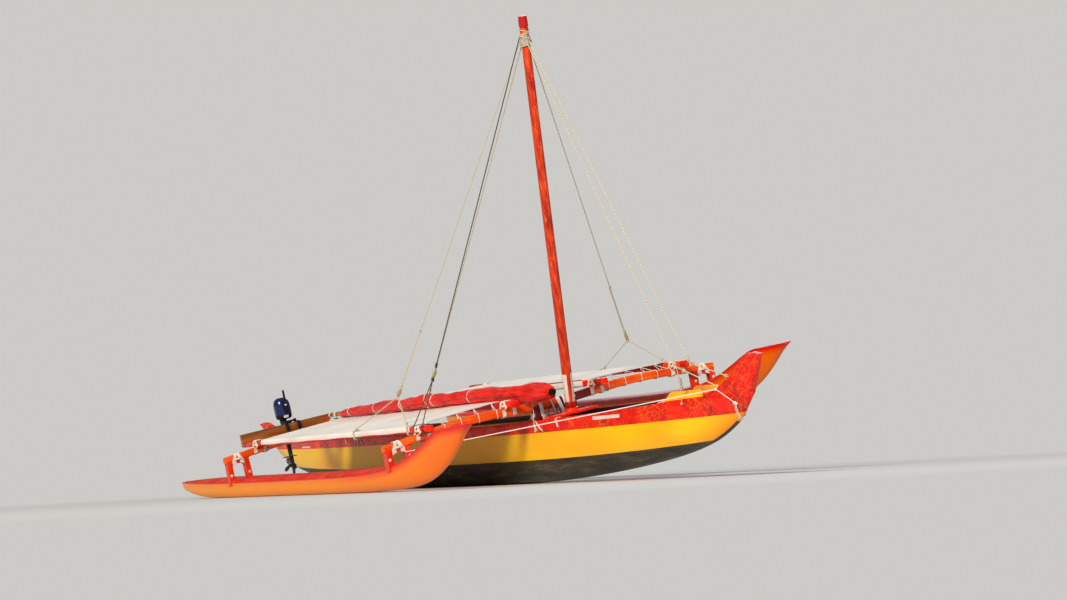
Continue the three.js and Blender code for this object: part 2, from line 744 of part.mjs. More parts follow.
const KNOT = { x: 1700, y: 1530, z: 1360 };
SIDES.forEach(({ name, side }) => {
  const knot = [KNOT.x, side * KNOT.y, KNOT.z];
  const grips = [2160, 700].map((x) => [x, side * OUTER_GRIP_Y, OUTER_Z]);
  const legs = grips.map((grip) => rope([knot, grip]));
  const line = rope([stayTop(0, knot), knot]);
  const room = stringerBody(side * STRINGER_OUT_Y, GAP);
  addPart(`shroud_${name}`, stay([line, [ball(knot, 14)], ...legs], [room]), PAINT.rope, 0.85);
});

const foreGrip = [2540, -OUTER_GRIP_Y, OUTER_Z];
const tackleKnot = [2560, -1470, 1500];
const sideLine = rope([stayTop(40, tackleKnot), tackleKnot, foreGrip]);
const sideStay = stay([sideLine], [stringerBody(-STRINGER_OUT_Y, GAP)]);
addPart('side_stay_starboard', sideStay, PAINT.rope, 0.85);

const liftEnd = bundleAt(500);
const liftPoint = [500, liftEnd.y, liftEnd.z + 30];
const liftLine = rope([stayTop(-38, liftPoint), liftPoint]);
addPart('topping_lift', stay([liftLine], [bundle(GAP)]), PAINT.rope, 0.85);

const bowManuRoom = loft(MANU_STATIONS.map((station) => {
  const half = station.half + GAP;
  const top = station.top + 2 * GAP;
  return [[-half, 800], [half, 800], [half, top], [-half, top]]
    .map(([y, z]) => new THREE.Vector3(station.x, y, z));
}));
// Lines to the bow: name, knot, end on the end piece
const FORESTAYS = [
  { name: 'forestay_side', port: -18, knot: [5540, -215, 1190], end: [6040, -44, 900] },
  { name: 'forestay_bow', port: 14, knot: [5600, -84, 1205], end: [6220, -9, 985] },
];
FORESTAYS.forEach(({ name, port, knot, end }) => {
  const line = rope([stayTop(0, knot, port), knot, end]);
  addPart(name, stay([line], [bowManuRoom]), PAINT.rope, 0.85);
});

// Outboard motor on a board across the starboard stringers

const MOTOR_Y = -1040;
const BOARD_X = -2720;
const BOARD_HALF = 22.5;
const BOARD_TOP = 1130;
const TILT_X = -2790;
const TILT_Z = 1152;
const STEER_X = -2890;
const LEG_X = -2965;
const POST_LOW = 890;
const POST_TOP = 1128;
const TILT_TUBE_HALF = 73;
const COWL_LOW = 1185;
const PROP_X = LEG_X - 76 - GAP;
const PROP_Z = 575;

function motorBoard() {
  const plank = block([BOARD_X - BOARD_HALF, -1760, 1010], [BOARD_X + BOARD_HALF, -500, BOARD_TOP]);
  const pad = block(
    [BOARD_X - BOARD_HALF, MOTOR_Y - 130, 870],
    [BOARD_X + BOARD_HALF, MOTOR_Y + 130, 1050],
  );
  const rooms = [-STRINGER_IN_Y, -STRINGER_OUT_Y].map((y) => stringerBody(y, GAP));
  return cutBy(joined([plank, pad]), rooms);
}

function clampBracket() {
  const back = BOARD_X - BOARD_HALF - GAP;
  const front = BOARD_X + BOARD_HALF + GAP;
  const pieces = [-1, 1].flatMap((side) => {
    const y = MOTOR_Y + side * 82;
    return [
      block([back - 9, y - 16, 905], [back, y + 16, BOARD_TOP + 9]),
      block([back - 9, y - 16, BOARD_TOP + GAP], [front + 34, y + 16, BOARD_TOP + 12]),
      block([front + 22, y - 16, 1040], [front + 34, y + 16, BOARD_TOP + 12]),
      bar([front + 74, y, 1062], [front, y, 1062], 8),
      bar([front + 70, y - 26, 1062], [front + 70, y + 26, 1062], 5, 5, 8),
      block([TILT_X - 24, y - 5, 920], [back, y + 5, TILT_Z + 20]),
    ];
  });
  const tie = block([back - 9, MOTOR_Y - 90, 905], [back, MOTOR_Y + 90, 935]);
  const pins = [-1, 1].map((side) => bar(
    [TILT_X, MOTOR_Y + side * (TILT_TUBE_HALF + GAP), TILT_Z],
    [TILT_X, MOTOR_Y + side * 94, TILT_Z],
    11,
  ));
  return joined([...pieces, tie, ...pins]);
}

function swivelBracket() {
  const ends = [MOTOR_Y - TILT_TUBE_HALF, MOTOR_Y + TILT_TUBE_HALF];
  const tube = bar([TILT_X, ends[0], TILT_Z], [TILT_X, ends[1], TILT_Z], 13);
  const post = bar([STEER_X, MOTOR_Y, POST_LOW], [STEER_X, MOTOR_Y, POST_TOP], 25, 25, 16);
  const web = block([STEER_X, MOTOR_Y - 34, 960], [TILT_X - 12, MOTOR_Y + 34, 1120]);
  const neck = block([TILT_X - 20, MOTOR_Y - 34, 1080], [TILT_X + 8, MOTOR_Y + 34, TILT_Z]);
  return joined([tube, post, web, neck]);
}

// Outline of the leg in plan, drawn at one height
function legRing(z, front, back, half) {
  const steps = 12;
  return Array.from({ length: steps }, (_, i) => {
    const angle = (i / steps) * Math.PI * 2;
    const reach = Math.cos(angle) > 0 ? front : back;
    return new THREE.Vector3(LEG_X + reach * Math.cos(angle), MOTOR_Y + half * Math.sin(angle), z);
  });
}

function motorLeg() {
  const column = loft([
    legRing(COWL_LOW - GAP, 40, 62, 46),
    legRing(1120, 38, 60, 42),
    legRing(1000, 34, 56, 30),
    legRing(760, 36, 54, 24),
    legRing(600, 44, 62, 19),
    legRing(560, 40, 52, 17),
  ]);
  const upperYoke = block(
    [LEG_X, MOTOR_Y - 32, POST_TOP + GAP],
    [STEER_X + 30, MOTOR_Y + 32, POST_TOP + 30],
  );
  const lowerYoke = block(
    [LEG_X, MOTOR_Y - 26, POST_LOW - 36],
    [STEER_X + 24, MOTOR_Y + 26, POST_LOW - GAP],
  );
  const plate = block([LEG_X - 130, MOTOR_Y - 68, 690], [LEG_X + 40, MOTOR_Y + 68, 697]);
  const nose = bar([LEG_X + 30, MOTOR_Y, PROP_Z], [LEG_X + 95, MOTOR_Y, PROP_Z], 32, 8, 14);
  const torpedo = bar([PROP_X + GAP, MOTOR_Y, PROP_Z], [LEG_X + 30, MOTOR_Y, PROP_Z], 27, 32, 14);
  const fin = new THREE.Shape();
  fin.moveTo(52, 560);
  fin.lineTo(-48, 560);
  fin.lineTo(-62, 432);
  fin.lineTo(-20, 426);
  const skeg = new THREE.ExtrudeGeometry(fin, { depth: 10, bevelEnabled: false });
  skeg.rotateX(Math.PI / 2);
  skeg.translate(LEG_X, MOTOR_Y + 5, 0);
  return joined([column, upperYoke, lowerYoke, plate, nose, torpedo, skeg]);
}

// Cowl levels: height, forward reach, rearward reach, half width
function motorCowl() {
  const levels = [
    { z: COWL_LOW, front: 62, back: 92, half: 66 },
    { z: 1200, front: 84, back: 138, half: 94 },
    { z: 1290, front: 92, back: 158, half: 104 },
    { z: 1385, front: 86, back: 150, half: 99 },
    { z: 1438, front: 66, back: 122, half: 80 },
    { z: 1462, front: 34, back: 78, half: 46 },
  ];
  const steps = 20;
  const middle = STEER_X - 12;
  return loft(levels.map(({ z, front, back, half }) => Array.from({ length: steps }, (_, i) => {
    const angle = (i / steps) * Math.PI * 2;
    const reach = Math.cos(angle) > 0 ? front : back;
    return new THREE.Vector3(middle + reach * Math.cos(angle), MOTOR_Y + half * Math.sin(angle), z);
  })));
}

function motorTiller() {
  const x = STEER_X + 118;
  const arm = block([STEER_X + 60, MOTOR_Y - 16, 1268], [x + 14, MOTOR_Y + 16, 1300]);
  const grip = bar([x, MOTOR_Y, 1280], [x + 10, MOTOR_Y, 1560], 15, 13, 14);
  return cutBy(joined([arm, grip]), [cowlRoom()]);
}

// The cowl, a hair larger, for the tiller to butt against
function cowlRoom() {
  const room = motorCowl().translate(-STEER_X, -MOTOR_Y, 0);
  return room.scale(1.006, 1.006, 1).translate(STEER_X, MOTOR_Y, 0);
}

const BLADE_THICK = 5;
const BLADE_PITCH = 58;
function propeller() {
  const hub = bar([PROP_X - 62, MOTOR_Y, PROP_Z], [PROP_X, MOTOR_Y, PROP_Z], 17, 25, 14);
  const blades = [0, 1, 2].map((turn) => {
    const outline = new THREE.Shape();
    outline.moveTo(-14, 12);
    outline.bezierCurveTo(-44, 40, -48, 88, -10, 100);
    outline.bezierCurveTo(30, 104, 42, 60, 16, 12);
    const blade = new THREE.ExtrudeGeometry(outline, {
      depth: BLADE_THICK,
      bevelEnabled: false,
      curveSegments: 5,
    });
    blade.translate(0, 0, -BLADE_THICK / 2);
    blade.rotateY(THREE.MathUtils.degToRad(BLADE_PITCH));
    blade.rotateX(Math.PI / 2 + (turn * 2 * Math.PI) / 3);
    return blade.translate(PROP_X - 32, MOTOR_Y, PROP_Z);
  });
  return joined([hub, ...blades]);
}

addPart('motor_board', motorBoard(), PAINT.wood, 0.6);
addPart('clamp_bracket', clampBracket(), PAINT.metal, 0.4, 0.7);
addPart('swivel_bracket', swivelBracket(), PAINT.metal, 0.4, 0.7);
addPart('motor_leg', motorLeg(), PAINT.navy, 0.4);
addPart('motor_cowl', motorCowl(), PAINT.navy, 0.35);
addPart('motor_tiller', motorTiller(), PAINT.black, 0.6);
addPart('propeller', propeller(), PAINT.metal, 0.4, 0.7);

// Stance: the boat rolls to starboard until the keel and the starboard float both touch the ground

function lowestAt(mesh, angle) {
  const turn = new THREE.Matrix4().makeRotationX(angle);
  const moved = mesh.geometry.clone().applyMatrix4(turn);
  moved.computeBoundingBox();
  return moved.boundingBox.min.z;
}

function restingAngle() {
  const hull = boat.children.filter((mesh) => mesh.name.startsWith('hull_'));
  const lowFloat = boat.getObjectByName('float_starboard');
  let low = 0;
  let high = Math.PI / 12;
  for (let i = 0; i < 40; i += 1) {
    const middle = (low + high) / 2;
    const keel = Math.min(...hull.map((mesh) => lowestAt(mesh, middle)));
    if (lowestAt(lowFloat, middle) > keel) low = middle;
    else high = middle;
  }
  return low;
}

const whole = new THREE.Group();
boat.rotation.x = restingAngle();
whole.add(boat);
whole.updateMatrixWorld(true);
const extent = new THREE.Box3().setFromObject(whole, true);
const centre = extent.getCenter(new THREE.Vector3());
boat.position.set(-centre.x, -centre.y, -extent.min.z);

export default whole;
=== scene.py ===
# %% [markdown]
# # A double-outrigger sailing canoe
#
# The boat has one long open hull, a float on each side, two arched crossbeams, cloth side decks,
# a mast with stays, a furled sail and an outboard motor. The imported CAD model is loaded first
# and stays where it is. Each step below gives one piece its fair curves, its paint or its rope.

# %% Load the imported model
import json
from math import atan2, ceil, copysign, cos, degrees, exp, pi, radians, sin, sqrt

import bmesh
import bpy
from mathutils import Matrix, Vector


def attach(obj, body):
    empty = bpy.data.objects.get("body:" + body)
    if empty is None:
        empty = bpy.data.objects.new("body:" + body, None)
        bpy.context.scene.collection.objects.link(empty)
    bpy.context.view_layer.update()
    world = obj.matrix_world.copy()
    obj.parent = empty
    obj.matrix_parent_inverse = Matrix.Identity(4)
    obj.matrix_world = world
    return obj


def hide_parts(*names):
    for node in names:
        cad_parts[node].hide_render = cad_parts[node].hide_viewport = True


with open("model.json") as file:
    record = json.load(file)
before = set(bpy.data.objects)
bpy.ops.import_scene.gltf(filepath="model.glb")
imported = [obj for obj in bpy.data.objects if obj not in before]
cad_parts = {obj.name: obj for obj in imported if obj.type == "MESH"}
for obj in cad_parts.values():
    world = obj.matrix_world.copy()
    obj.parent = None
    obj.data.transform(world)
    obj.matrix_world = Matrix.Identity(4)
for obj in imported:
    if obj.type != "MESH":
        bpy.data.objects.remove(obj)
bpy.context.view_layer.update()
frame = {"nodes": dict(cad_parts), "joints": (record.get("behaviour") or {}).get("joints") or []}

# %% [markdown]
# ## The boat's own axes
#
# The boat stands on its keel and one float, so it leans to starboard. Its lines are easier to
# draw upright: X forward, Y to port, Z up from the keel. Every mesh is drawn that way in metres
# and then turned into place. The motor's steering axis gives the lean, and its hinge, which is at
# a known point of the upright boat, gives the place.

# %% The turn from upright boat to leaning boat
JOINTS = {joint["name"]: joint for joint in frame["joints"]}
STEERING_AXIS = Vector(JOINTS["motor_steering"]["axis"])
HINGE_NOW = Vector(JOINTS["motor_tilt_hinge"]["pos_m"])
HINGE_UPRIGHT = Vector((-2.79, -1.04, 1.152))
HEEL = atan2(-STEERING_AXIS.y, STEERING_AXIS.z)
LEAN = Matrix.Rotation(HEEL, 4, "X")
BOAT = Matrix.Translation(HINGE_NOW - LEAN @ HINGE_UPRIGHT) @ LEAN
UPRIGHT = BOAT.inverted()
print(f"The boat leans {degrees(HEEL):.2f} degrees to starboard.")

# %% [markdown]
# ## Mesh helpers
#
# Nearly every piece of a boat is a skin over a row of cross-sections, as planks are bent over
# frames. So one helper stretches a skin over rings, one sweeps a round section along a path for
# ropes and spars, and one makes the object. Ropes get a UV map that runs along them in metres, so
# that the twist of the strands keeps its size.

# %% A shape collects points and faces
OFF_AXIS = Vector((0.21, 0.35, 0.91))    # no line of the boat runs this way


class Shape:
    """Points, faces, the finish of each face and its place along a rope."""

    def __init__(self):
        self.points, self.faces, self.finishes, self.uvs = [], [], [], []

    def add(self, points, faces, finish=0, uvs=None):
        first = len(self.points)
        self.points += [Vector(point) for point in points]
        self.faces += [tuple(first + i for i in face) for face in faces]
        self.finishes += [finish] * len(faces)
        self.uvs += uvs or [[(0, 0)] * len(face) for face in faces]

    def skin(self, rings, finish=0, closed=True, capped=True):
        """A skin over rings of equal count; open rings leave a sheet with two free edges."""
        count = len(rings[0])
        spans = count if closed else count - 1
        faces = []
        for i in range(len(rings) - 1):
            for j in range(spans):
                a, b = i * count + j, i * count + (j + 1) % count
                faces.append((a, b, b + count, a + count))
        if capped:
            last = (len(rings) - 1) * count
            faces.append(tuple(range(count))[::-1])
            faces.append(tuple(range(last, last + count)))
        self.add([point for ring in rings for point in ring], faces, finish)

    def rope(self, path, radius, sides=8, finish=0, flat=1.0):
        """A round section swept along a path, with one radius or a list of them."""
        path = [Vector(point) for point in path]
        radii = radius if isinstance(radius, list) else [radius] * len(path)
        side = None
        rings, along, travelled = [], [], 0.0
        for i, point in enumerate(path):
            before, after = path[max(i - 1, 0)], path[min(i + 1, len(path) - 1)]
            run = (after - before).normalized()
            if side is None:
                side = run.cross(OFF_AXIS).normalized()
            side = (side - run * side.dot(run)).normalized()
            other = run.cross(side)
            travelled += (point - before).length if i else 0.0
            along.append(travelled)
            turns = [2 * pi * k / sides for k in range(sides)]
            rings.append([point + (side * cos(t) + other * sin(t) * flat) * radii[i] for t in turns])
        faces, uvs = [], []
        for i in range(len(path) - 1):
            for j in range(sides):
                k = (j + 1) % sides
                a, b = i * sides + j, i * sides + k
                faces.append((a, b, b + sides, a + sides))
                low, high = j / sides, (j + 1) / sides
                uvs.append([(low, along[i]), (high, along[i]), (high, along[i + 1]), (low, along[i + 1])])
        last = (len(path) - 1) * sides
        for cap in (tuple(range(sides))[::-1], tuple(range(last, last + sides))):
            faces.append(cap)
            uvs.append([(0, 0)] * sides)
        self.add([point for ring in rings for point in ring], faces, finish, uvs)


trial = Shape()
trial.rope([(0, 0, 0), (1, 0, 0)], 0.006)
print("A straight piece of rope has", len(trial.faces), "faces.")


def worked(mesh, change=None):
    """Lets a function change a mesh, then turns all its faces outward."""
    work = bmesh.new()
    work.from_mesh(mesh)
    if change:
        change(work)
    bmesh.ops.recalc_face_normals(work, faces=work.faces)
    work.to_mesh(mesh)
    work.free()


def stand(name, data):
    """An object for a mesh, a camera or a lamp, linked to the scene."""
    thing = bpy.data.objects.new(name, data)
    bpy.context.scene.collection.objects.link(thing)
    return thing


def make(name, shape, finishes, body="boat", replaces=(), smooth=38):
    """Turns a shape, drawn in the upright boat, into an object in the leaning one."""
    mesh = bpy.data.meshes.new(name)
    mesh.from_pydata(shape.points, [], shape.faces)
    mesh.polygons.foreach_set("material_index", shape.finishes)
    layer = mesh.uv_layers.new(name="Run")
    flat = [value for face in shape.uvs for corner in face for value in corner]
    layer.data.foreach_set("uv", flat)
    worked(mesh)
    mesh.transform(BOAT)
    return settle(name, mesh, finishes, body, replaces, smooth)


def settle(name, mesh, finishes, body="boat", replaces=(), smooth=38):
    """Gives a mesh its finishes and its body, and hides the CAD nodes that it stands for."""
    mesh.shade_smooth()
    mesh.set_sharp_from_angle(angle=radians(smooth))
    piece = stand(name, mesh)
    for finish in finishes:
        mesh.materials.append(finish)
    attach(piece, body)
    if replaces:
        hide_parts(*replaces)
    size = " x ".join(f"{side:.2f}" for side in piece.dimensions)
    print(f"{name}: {len(mesh.polygons)} faces, {size} m")
    return piece


# %% [markdown]
# ## Smooth lines from a few stations
#
# A boatbuilder gives a hull as a table of stations and draws fair curves through them. The same
# is done here: a cubic through each pair of stations, with its slope at a station taken from the
# neighbours on both sides. The tables are those of the CAD model, in metres.

# %% Fair curves through a table


def faired(table, place, column):
    """Value of a column at a place; the first column holds the stations."""
    last = len(table) - 1
    value = min(max(place, table[0][0]), table[last][0])
    i = 0
    while i < last - 1 and table[i + 1][0] < value:
        i += 1

    def slope(n):
        before, after = table[max(n - 1, 0)], table[min(n + 1, last)]
        return (after[column] - before[column]) / (after[0] - before[0])

    span = table[i + 1][0] - table[i][0]
    t = (value - table[i][0]) / span
    # A table that begins amidships is mirrored there, so its curve starts level
    start = 0.0 if i == 0 and table[0][0] == 0 else slope(i)
    rise = (table[i + 1][column] - table[i][column]) * t * t * (3 - 2 * t)
    bend = start * (t - 2 * t * t + t ** 3) + slope(i + 1) * (t ** 3 - t * t)
    return table[i][column] + rise + bend * span


def places(low, high, step):
    """Even places from low to high, no more than a step apart."""
    count = max(1, ceil((high - low) / step - 1e-9))
    return [low + (high - low) * i / count for i in range(count + 1)]


print("Fair arch, halfway up:", round(faired([(0, 1.0), (1, 0.8), (2, 0.0)], 1.5, 1), 3))

# %% [markdown]
# ## Colours and the node helper
#
# Colours are written as the sRGB values of a paint chart and turned into linear light once. A
# shader is a chain of small nodes, and one helper adds a node with its settings and links, so
# that each finish reads as a recipe. Patterns are placed in the upright boat in metres, and their
# scale comes from the real size of their lumps: a brush leaves streaks 500 mm by 17 mm, say.

# %% Linear colour, pattern scale, and one node at a time


def tone(code):
    """Linear colour of an sRGB hex code."""
    parts = [int(code[i:i + 2], 16) / 255 for i in (1, 3, 5)]
    linear = [c / 12.92 if c <= 0.04045 else ((c + 0.055) / 1.055) ** 2.4 for c in parts]
    return (*linear, 1.0)


def lumps(*sizes_mm):
    """Scale of a pattern whose lumps have this size, or these sizes along X, Y and Z."""
    scales = tuple(1000 / size for size in sizes_mm)
    return scales if len(scales) > 1 else scales[0]


def add(tree, kind, inputs=None, output=0, stops=(), **options):
    """Adds a node with its options, values, links and colour stops, and returns an output."""
    node = tree.nodes.new("ShaderNode" + kind)
    for option, value in options.items():
        setattr(node, option, value)
    for socket, value in (inputs or {}).items():
        if isinstance(value, bpy.types.NodeSocket):
            tree.links.new(value, node.inputs[socket])
        else:
            node.inputs[socket].default_value = value
    for position, code in stops[1:-1]:
        node.color_ramp.elements.new(position).color = tone(code)
    for end in (0, -1) if stops else ():
        node.color_ramp.elements[end].position = stops[end][0]
        node.color_ramp.elements[end].color = tone(stops[end][1])
    return node.outputs[output]


def new_finish(name):
    """A material with only its output, its node tree, and a point's place in the boat."""
    print("Finish:", name)
    material = bpy.data.materials.new(name)
    material.use_nodes = True
    tree = material.node_tree
    tree.nodes.remove(tree.nodes["Principled BSDF"])
    here = add(tree, "TexCoord", output="Object")
    place = add(tree, "Mapping", {"Vector": here, "Rotation": (-HEEL, 0, 0),
                                  "Location": UPRIGHT.translation})
    return material, tree, place


def close_finish(material, surface):
    """Joins the last shader to the material's output and returns the material."""
    tree = material.node_tree
    tree.links.new(surface, tree.nodes["Material Output"].inputs["Surface"])
    return material


print("Half grey in linear light:", round(tone("#808080")[0], 3))

# %% [markdown]
# ## Gloss paint in three bands
#
# The hull is fibreglass with brushed boat enamel: a black bottom, a yellow middle and a red top.
# The bands could be three meshes, but paint has no thickness that shows, so one skin carries two
# painted lines. Each vertex stores how far it lies above a line, in metres, and the shader cuts
# the colours there. The red is marbled: thin curved veins of orange cross each other, and fine
# flecks lie between them. A vein is where a stretched noise passes through its middle value.

# %% Red enamel with crossed orange veins
# Millimetres: length of a vein's bends, space between veins, flecks, veined patches, coats
VEIN_LONG, VEIN_APART, FLECK_SIZE, PATCH_SIZE, COAT_SIZE = 340, 110, 22, 384.6, 200
VEIN_EDGE = 0.02    # share of the noise's range on each side of a vein's middle
# slope in radians, shift of the pattern
VEIN_FAMILIES = ((-0.75, 0.0), (0.85, 3.7), (0.15, 8.1))


def marbled_red(tree, place):
    """Colour of the marbled red, and its share of orange."""
    flecks = add(tree, "TexNoise", {"Vector": place, "Scale": lumps(FLECK_SIZE), "Detail": 3.0})
    share = add(tree, "MapRange", {"Value": flecks, "From Min": 0.54, "From Max": 0.68, "To Max": 0.35})
    for slope, shift in VEIN_FAMILIES:
        turned = add(tree, "Mapping", {"Vector": place, "Location": (shift, shift, 0),
                                       "Rotation": (0, slope, 0)})
        sized = add(tree, "Mapping", {"Vector": turned,
                                      "Scale": lumps(VEIN_LONG, VEIN_APART, VEIN_APART)})
        bends = add(tree, "TexNoise", {"Vector": sized, "Scale": 1.0, "Detail": 3.0, "Distortion": 0.5})
        off = add(tree, "Math", {0: bends, 1: 0.5}, operation="SUBTRACT")
        away = add(tree, "Math", {0: off}, operation="ABSOLUTE")
        vein = add(tree, "MapRange", {"Value": away, "From Max": VEIN_EDGE, "To Min": 1.0, "To Max": 0.0})
        share = add(tree, "Math", {0: vein, 1: share}, operation="MAXIMUM")
    cloud = add(tree, "TexNoise", {"Vector": place, "Scale": lumps(PATCH_SIZE), "Detail": 2.0})
    dense = add(tree, "MapRange", {"Value": cloud, "From Min": 0.35, "From Max": 0.6,
                                   "To Min": 0.08, "To Max": 0.75})
    share = add(tree, "Math", {0: share, 1: dense}, operation="MULTIPLY")
    coats = add(tree, "TexNoise", {"Vector": place, "Scale": lumps(COAT_SIZE), "Detail": 4.0})
    ground = add(tree, "ValToRGB", {"Fac": coats},
                 stops=[(0.30, "#B80A02"), (0.52, "#E81402"), (0.75, "#F82406")])
    return add(tree, "Mix", {0: share, 6: ground, 7: tone("#FF7A28")}, 2, data_type="RGBA"), share


print("Veins of the marbled red run in", len(VEIN_FAMILIES), "directions.")

# %% Hull enamel in bands, and the same red alone
# Half the height in metres over which a hand-cut line goes from one colour to the other
LINE_EDGE = 0.0008


def hull_enamel():
    # Real thing: two-part gloss enamel brushed over filled fibreglass. It gives the eye deep
    # colour under a hard, slightly wavy shine, and a scuffed, duller bottom.
    material, tree, place = new_finish("brushed gloss enamel in bands")
    red, _ = marbled_red(tree, place)
    stretched = add(tree, "Mapping", {"Vector": place, "Scale": lumps(909.1, 333.3, 333.3)})
    cloud = add(tree, "TexNoise", {"Vector": stretched, "Scale": 1.0, "Detail": 3.0})
    yellow = add(tree, "ValToRGB", {"Fac": cloud},
                 stops=[(0.3, "#FFBA00"), (0.55, "#FFCC00"), (0.8, "#FFD600")])
    toward_stem = add(tree, "Attribute", output="Fac", attribute_name="toward_stem")
    yellow = add(tree, "Mix", {0: toward_stem, 6: yellow, 7: tone("#FB9200")}, 2, data_type="RGBA")
    drawn = add(tree, "Mapping", {"Vector": place, "Scale": lumps(666.7, 166.7, 111.1)})
    scuffs = add(tree, "TexNoise", {"Vector": drawn, "Scale": 1.0, "Detail": 6.0, "Roughness": 0.7})
    bottom = add(tree, "ValToRGB", {"Fac": scuffs},
                 stops=[(0.32, "#1F1E17"), (0.52, "#423F33"), (0.70, "#766C55")])
    over_red = add(tree, "Attribute", output="Fac", attribute_name="over_red")
    over_black = add(tree, "Attribute", output="Fac", attribute_name="over_black")
    cut = {"From Min": -LINE_EDGE, "From Max": LINE_EDGE}
    above = add(tree, "MapRange", {"Value": over_red, **cut})
    upper = add(tree, "Mix", {0: above, 6: yellow, 7: red}, 2, data_type="RGBA")
    above = add(tree, "MapRange", {"Value": over_black, **cut})
    colour = add(tree, "Mix", {0: above, 6: bottom, 7: upper}, 2, data_type="RGBA")
    worn = add(tree, "MapRange", {"Value": above, "To Min": 0.5, "To Max": 0.33})
    waves = add(tree, "Bump", {"Height": cloud, "Distance": 0.0006, "Strength": 1.0})
    return close_finish(material, add(tree, "BsdfPrincipled", {
        "Base Color": colour, "Roughness": worn, "IOR": 1.5,
        "Coat Weight": 0.08, "Coat Roughness": 0.06, "Normal": waves}))


def red_enamel():
    # Real thing: the same brushed enamel on the decks and end pieces, in the marbled red only.
    material, tree, place = new_finish("brushed marbled enamel")
    colour, strokes = marbled_red(tree, place)
    ridges = add(tree, "Bump", {"Height": strokes, "Distance": 0.0004, "Strength": 1.0})
    return close_finish(material, add(tree, "BsdfPrincipled", {
        "Base Color": colour, "Roughness": 0.34, "IOR": 1.5,
        "Coat Weight": 0.08, "Coat Roughness": 0.08, "Normal": ridges}))


HULL_ENAMEL, RED_ENAMEL = hull_enamel(), red_enamel()

# %% [markdown]
# ## Plain boat enamels
#
# Crossbeams, supports and spars are wood, sealed and painted with a brush. Brushed enamel shows
# faint streaks along the stroke and soft clouds where the coats differ, and worn places are
# duller. One recipe makes each colour, with its own streak direction.

# %% Brushed enamel in one colour
STROKE_LONG, STROKE_WIDE, COAT_CLOUD = 500, 16.67, 250    # millimetres


def brushed_enamel(name, shades, streak=(STROKE_LONG, STROKE_WIDE, STROKE_WIDE), rough=0.3, coat=0.3):
    """Enamel in three shades, with brush streaks of a size in millimetres along X, Y and Z."""
    material, tree, place = new_finish(name)
    sized = add(tree, "Mapping", {"Vector": place, "Scale": lumps(*streak)})
    streaks = add(tree, "TexNoise", {"Vector": sized, "Scale": 1.0, "Detail": 4.0})
    clouds = add(tree, "TexNoise", {"Vector": place, "Scale": lumps(COAT_CLOUD), "Detail": 3.0})
    both = add(tree, "Mix", {0: 0.5, 2: streaks, 3: clouds})
    colour = add(tree, "ValToRGB", {"Fac": both}, stops=list(zip((0.36, 0.5, 0.64), shades)))
    worn = add(tree, "MapRange", {"Value": clouds, "From Min": 0.3, "From Max": 0.7,
                                  "To Min": rough - 0.06, "To Max": rough + 0.1})
    ridges = add(tree, "Bump", {"Height": streaks, "Distance": 0.0004, "Strength": 1.0})
    return close_finish(material, add(tree, "BsdfPrincipled", {
        "Base Color": colour, "Roughness": worn, "IOR": 1.5,
        "Coat Weight": coat, "Coat Roughness": 0.1, "Normal": ridges}))


# Real thing: boat enamel brushed on sealed wood, and rolled where it is dull. It gives the eye
# an even, glossy colour with faint streaks along each piece.
ORANGE_ENAMEL = brushed_enamel("orange brushed enamel", ("#D04406", "#EC5A08", "#F87216"),
                               (STROKE_WIDE, STROKE_LONG, STROKE_WIDE))
PYLON_ENAMEL = brushed_enamel("orange-red brushed enamel", ("#C02408", "#DE3808", "#EE4E12"),
                              (20, 20, 333.3))
# Maroon is real paint on the chocks and inside the hull, and painted shade on the front beam beside the
# mast.
MAROON_ENAMEL_AND_SHADE = brushed_enamel("maroon brushed enamel and painted shade", ("#4C0E0E", "#6C1412", "#86201A"))
BLACK_ENAMEL = brushed_enamel("black satin enamel", ("#0D0E10", "#15161A", "#212226"), rough=0.42)
OCHRE_ENAMEL = brushed_enamel("ochre rolled enamel", ("#A87010", "#C2881A", "#D49A28"),
                              rough=0.45, coat=0.1)
YELLOW_ENAMEL = brushed_enamel("yellow brushed enamel", ("#F4A400", "#FFBA00", "#FFC808"),
                               (STROKE_LONG, 50, 50), 0.24, 0.5)

# %% [markdown]
# ## The hull
#
# The hull is one moulded skin 12 mm thick: nearly upright sides, a round bilge and a rockered
# keel that sweeps up to both ends. Subdividing a box would give the bulges of a box, so the skin
# is stretched over one cross-section every 100 mm, outside and inside, and both sheets meet in a
# rounded edge at the sheer. The inside is dark red forward of the mast and ochre behind it.

# %% Cross-sections of the hull
# x, half beam, keel height, sheer height
HULL_STATIONS = [(0, 0.3, 0.0, 0.755), (1.2, 0.298, 0.0, 0.758),
                 (2.4, 0.286, 0.03, 0.768), (3.4, 0.262, 0.085, 0.785),
                 (4.3, 0.224, 0.16, 0.805), (5.1, 0.168, 0.255, 0.825),
                 (5.7, 0.115, 0.375, 0.836), (6.16, 0.07, 0.545, 0.84),
                 (6.31, 0.056, 0.65, 0.84), (6.5, 0.04, 0.815, 0.84)]
# The bilge turns at this share of the height, and the hull has this share of its beam there
BILGE_SHARE, BILGE_BEAM, SHELL = 0.55, 0.91, 0.012
BEAM_X, COCKPIT_END, HULL_END = 2.4, 5.65, 6.5
STERN_SHARE = 0.903    # the stern behind the rear crossbeam is this much shorter than the bow
SIDE_STEPS, BILGE_STEPS = 5, 12


def along(end, place):
    """Point along the boat for a station, at the bow (1) or at the shorter stern (-1)."""
    beyond = place - BEAM_X
    return -BEAM_X - beyond * STERN_SHARE if end < 0 and beyond > 0 else end * place


def place_of(x):
    """Station for a point along the boat, the inverse of along."""
    beyond = -x - BEAM_X
    return BEAM_X + beyond / STERN_SHARE if beyond > 0 else abs(x)


def hull_at(x):
    """Half beam, keel height and sheer height at a point along the boat."""
    beam, keel, sheer = (faired(HULL_STATIONS, place_of(x), column) for column in (1, 2, 3))
    return beam, max(keel, 0.0), sheer


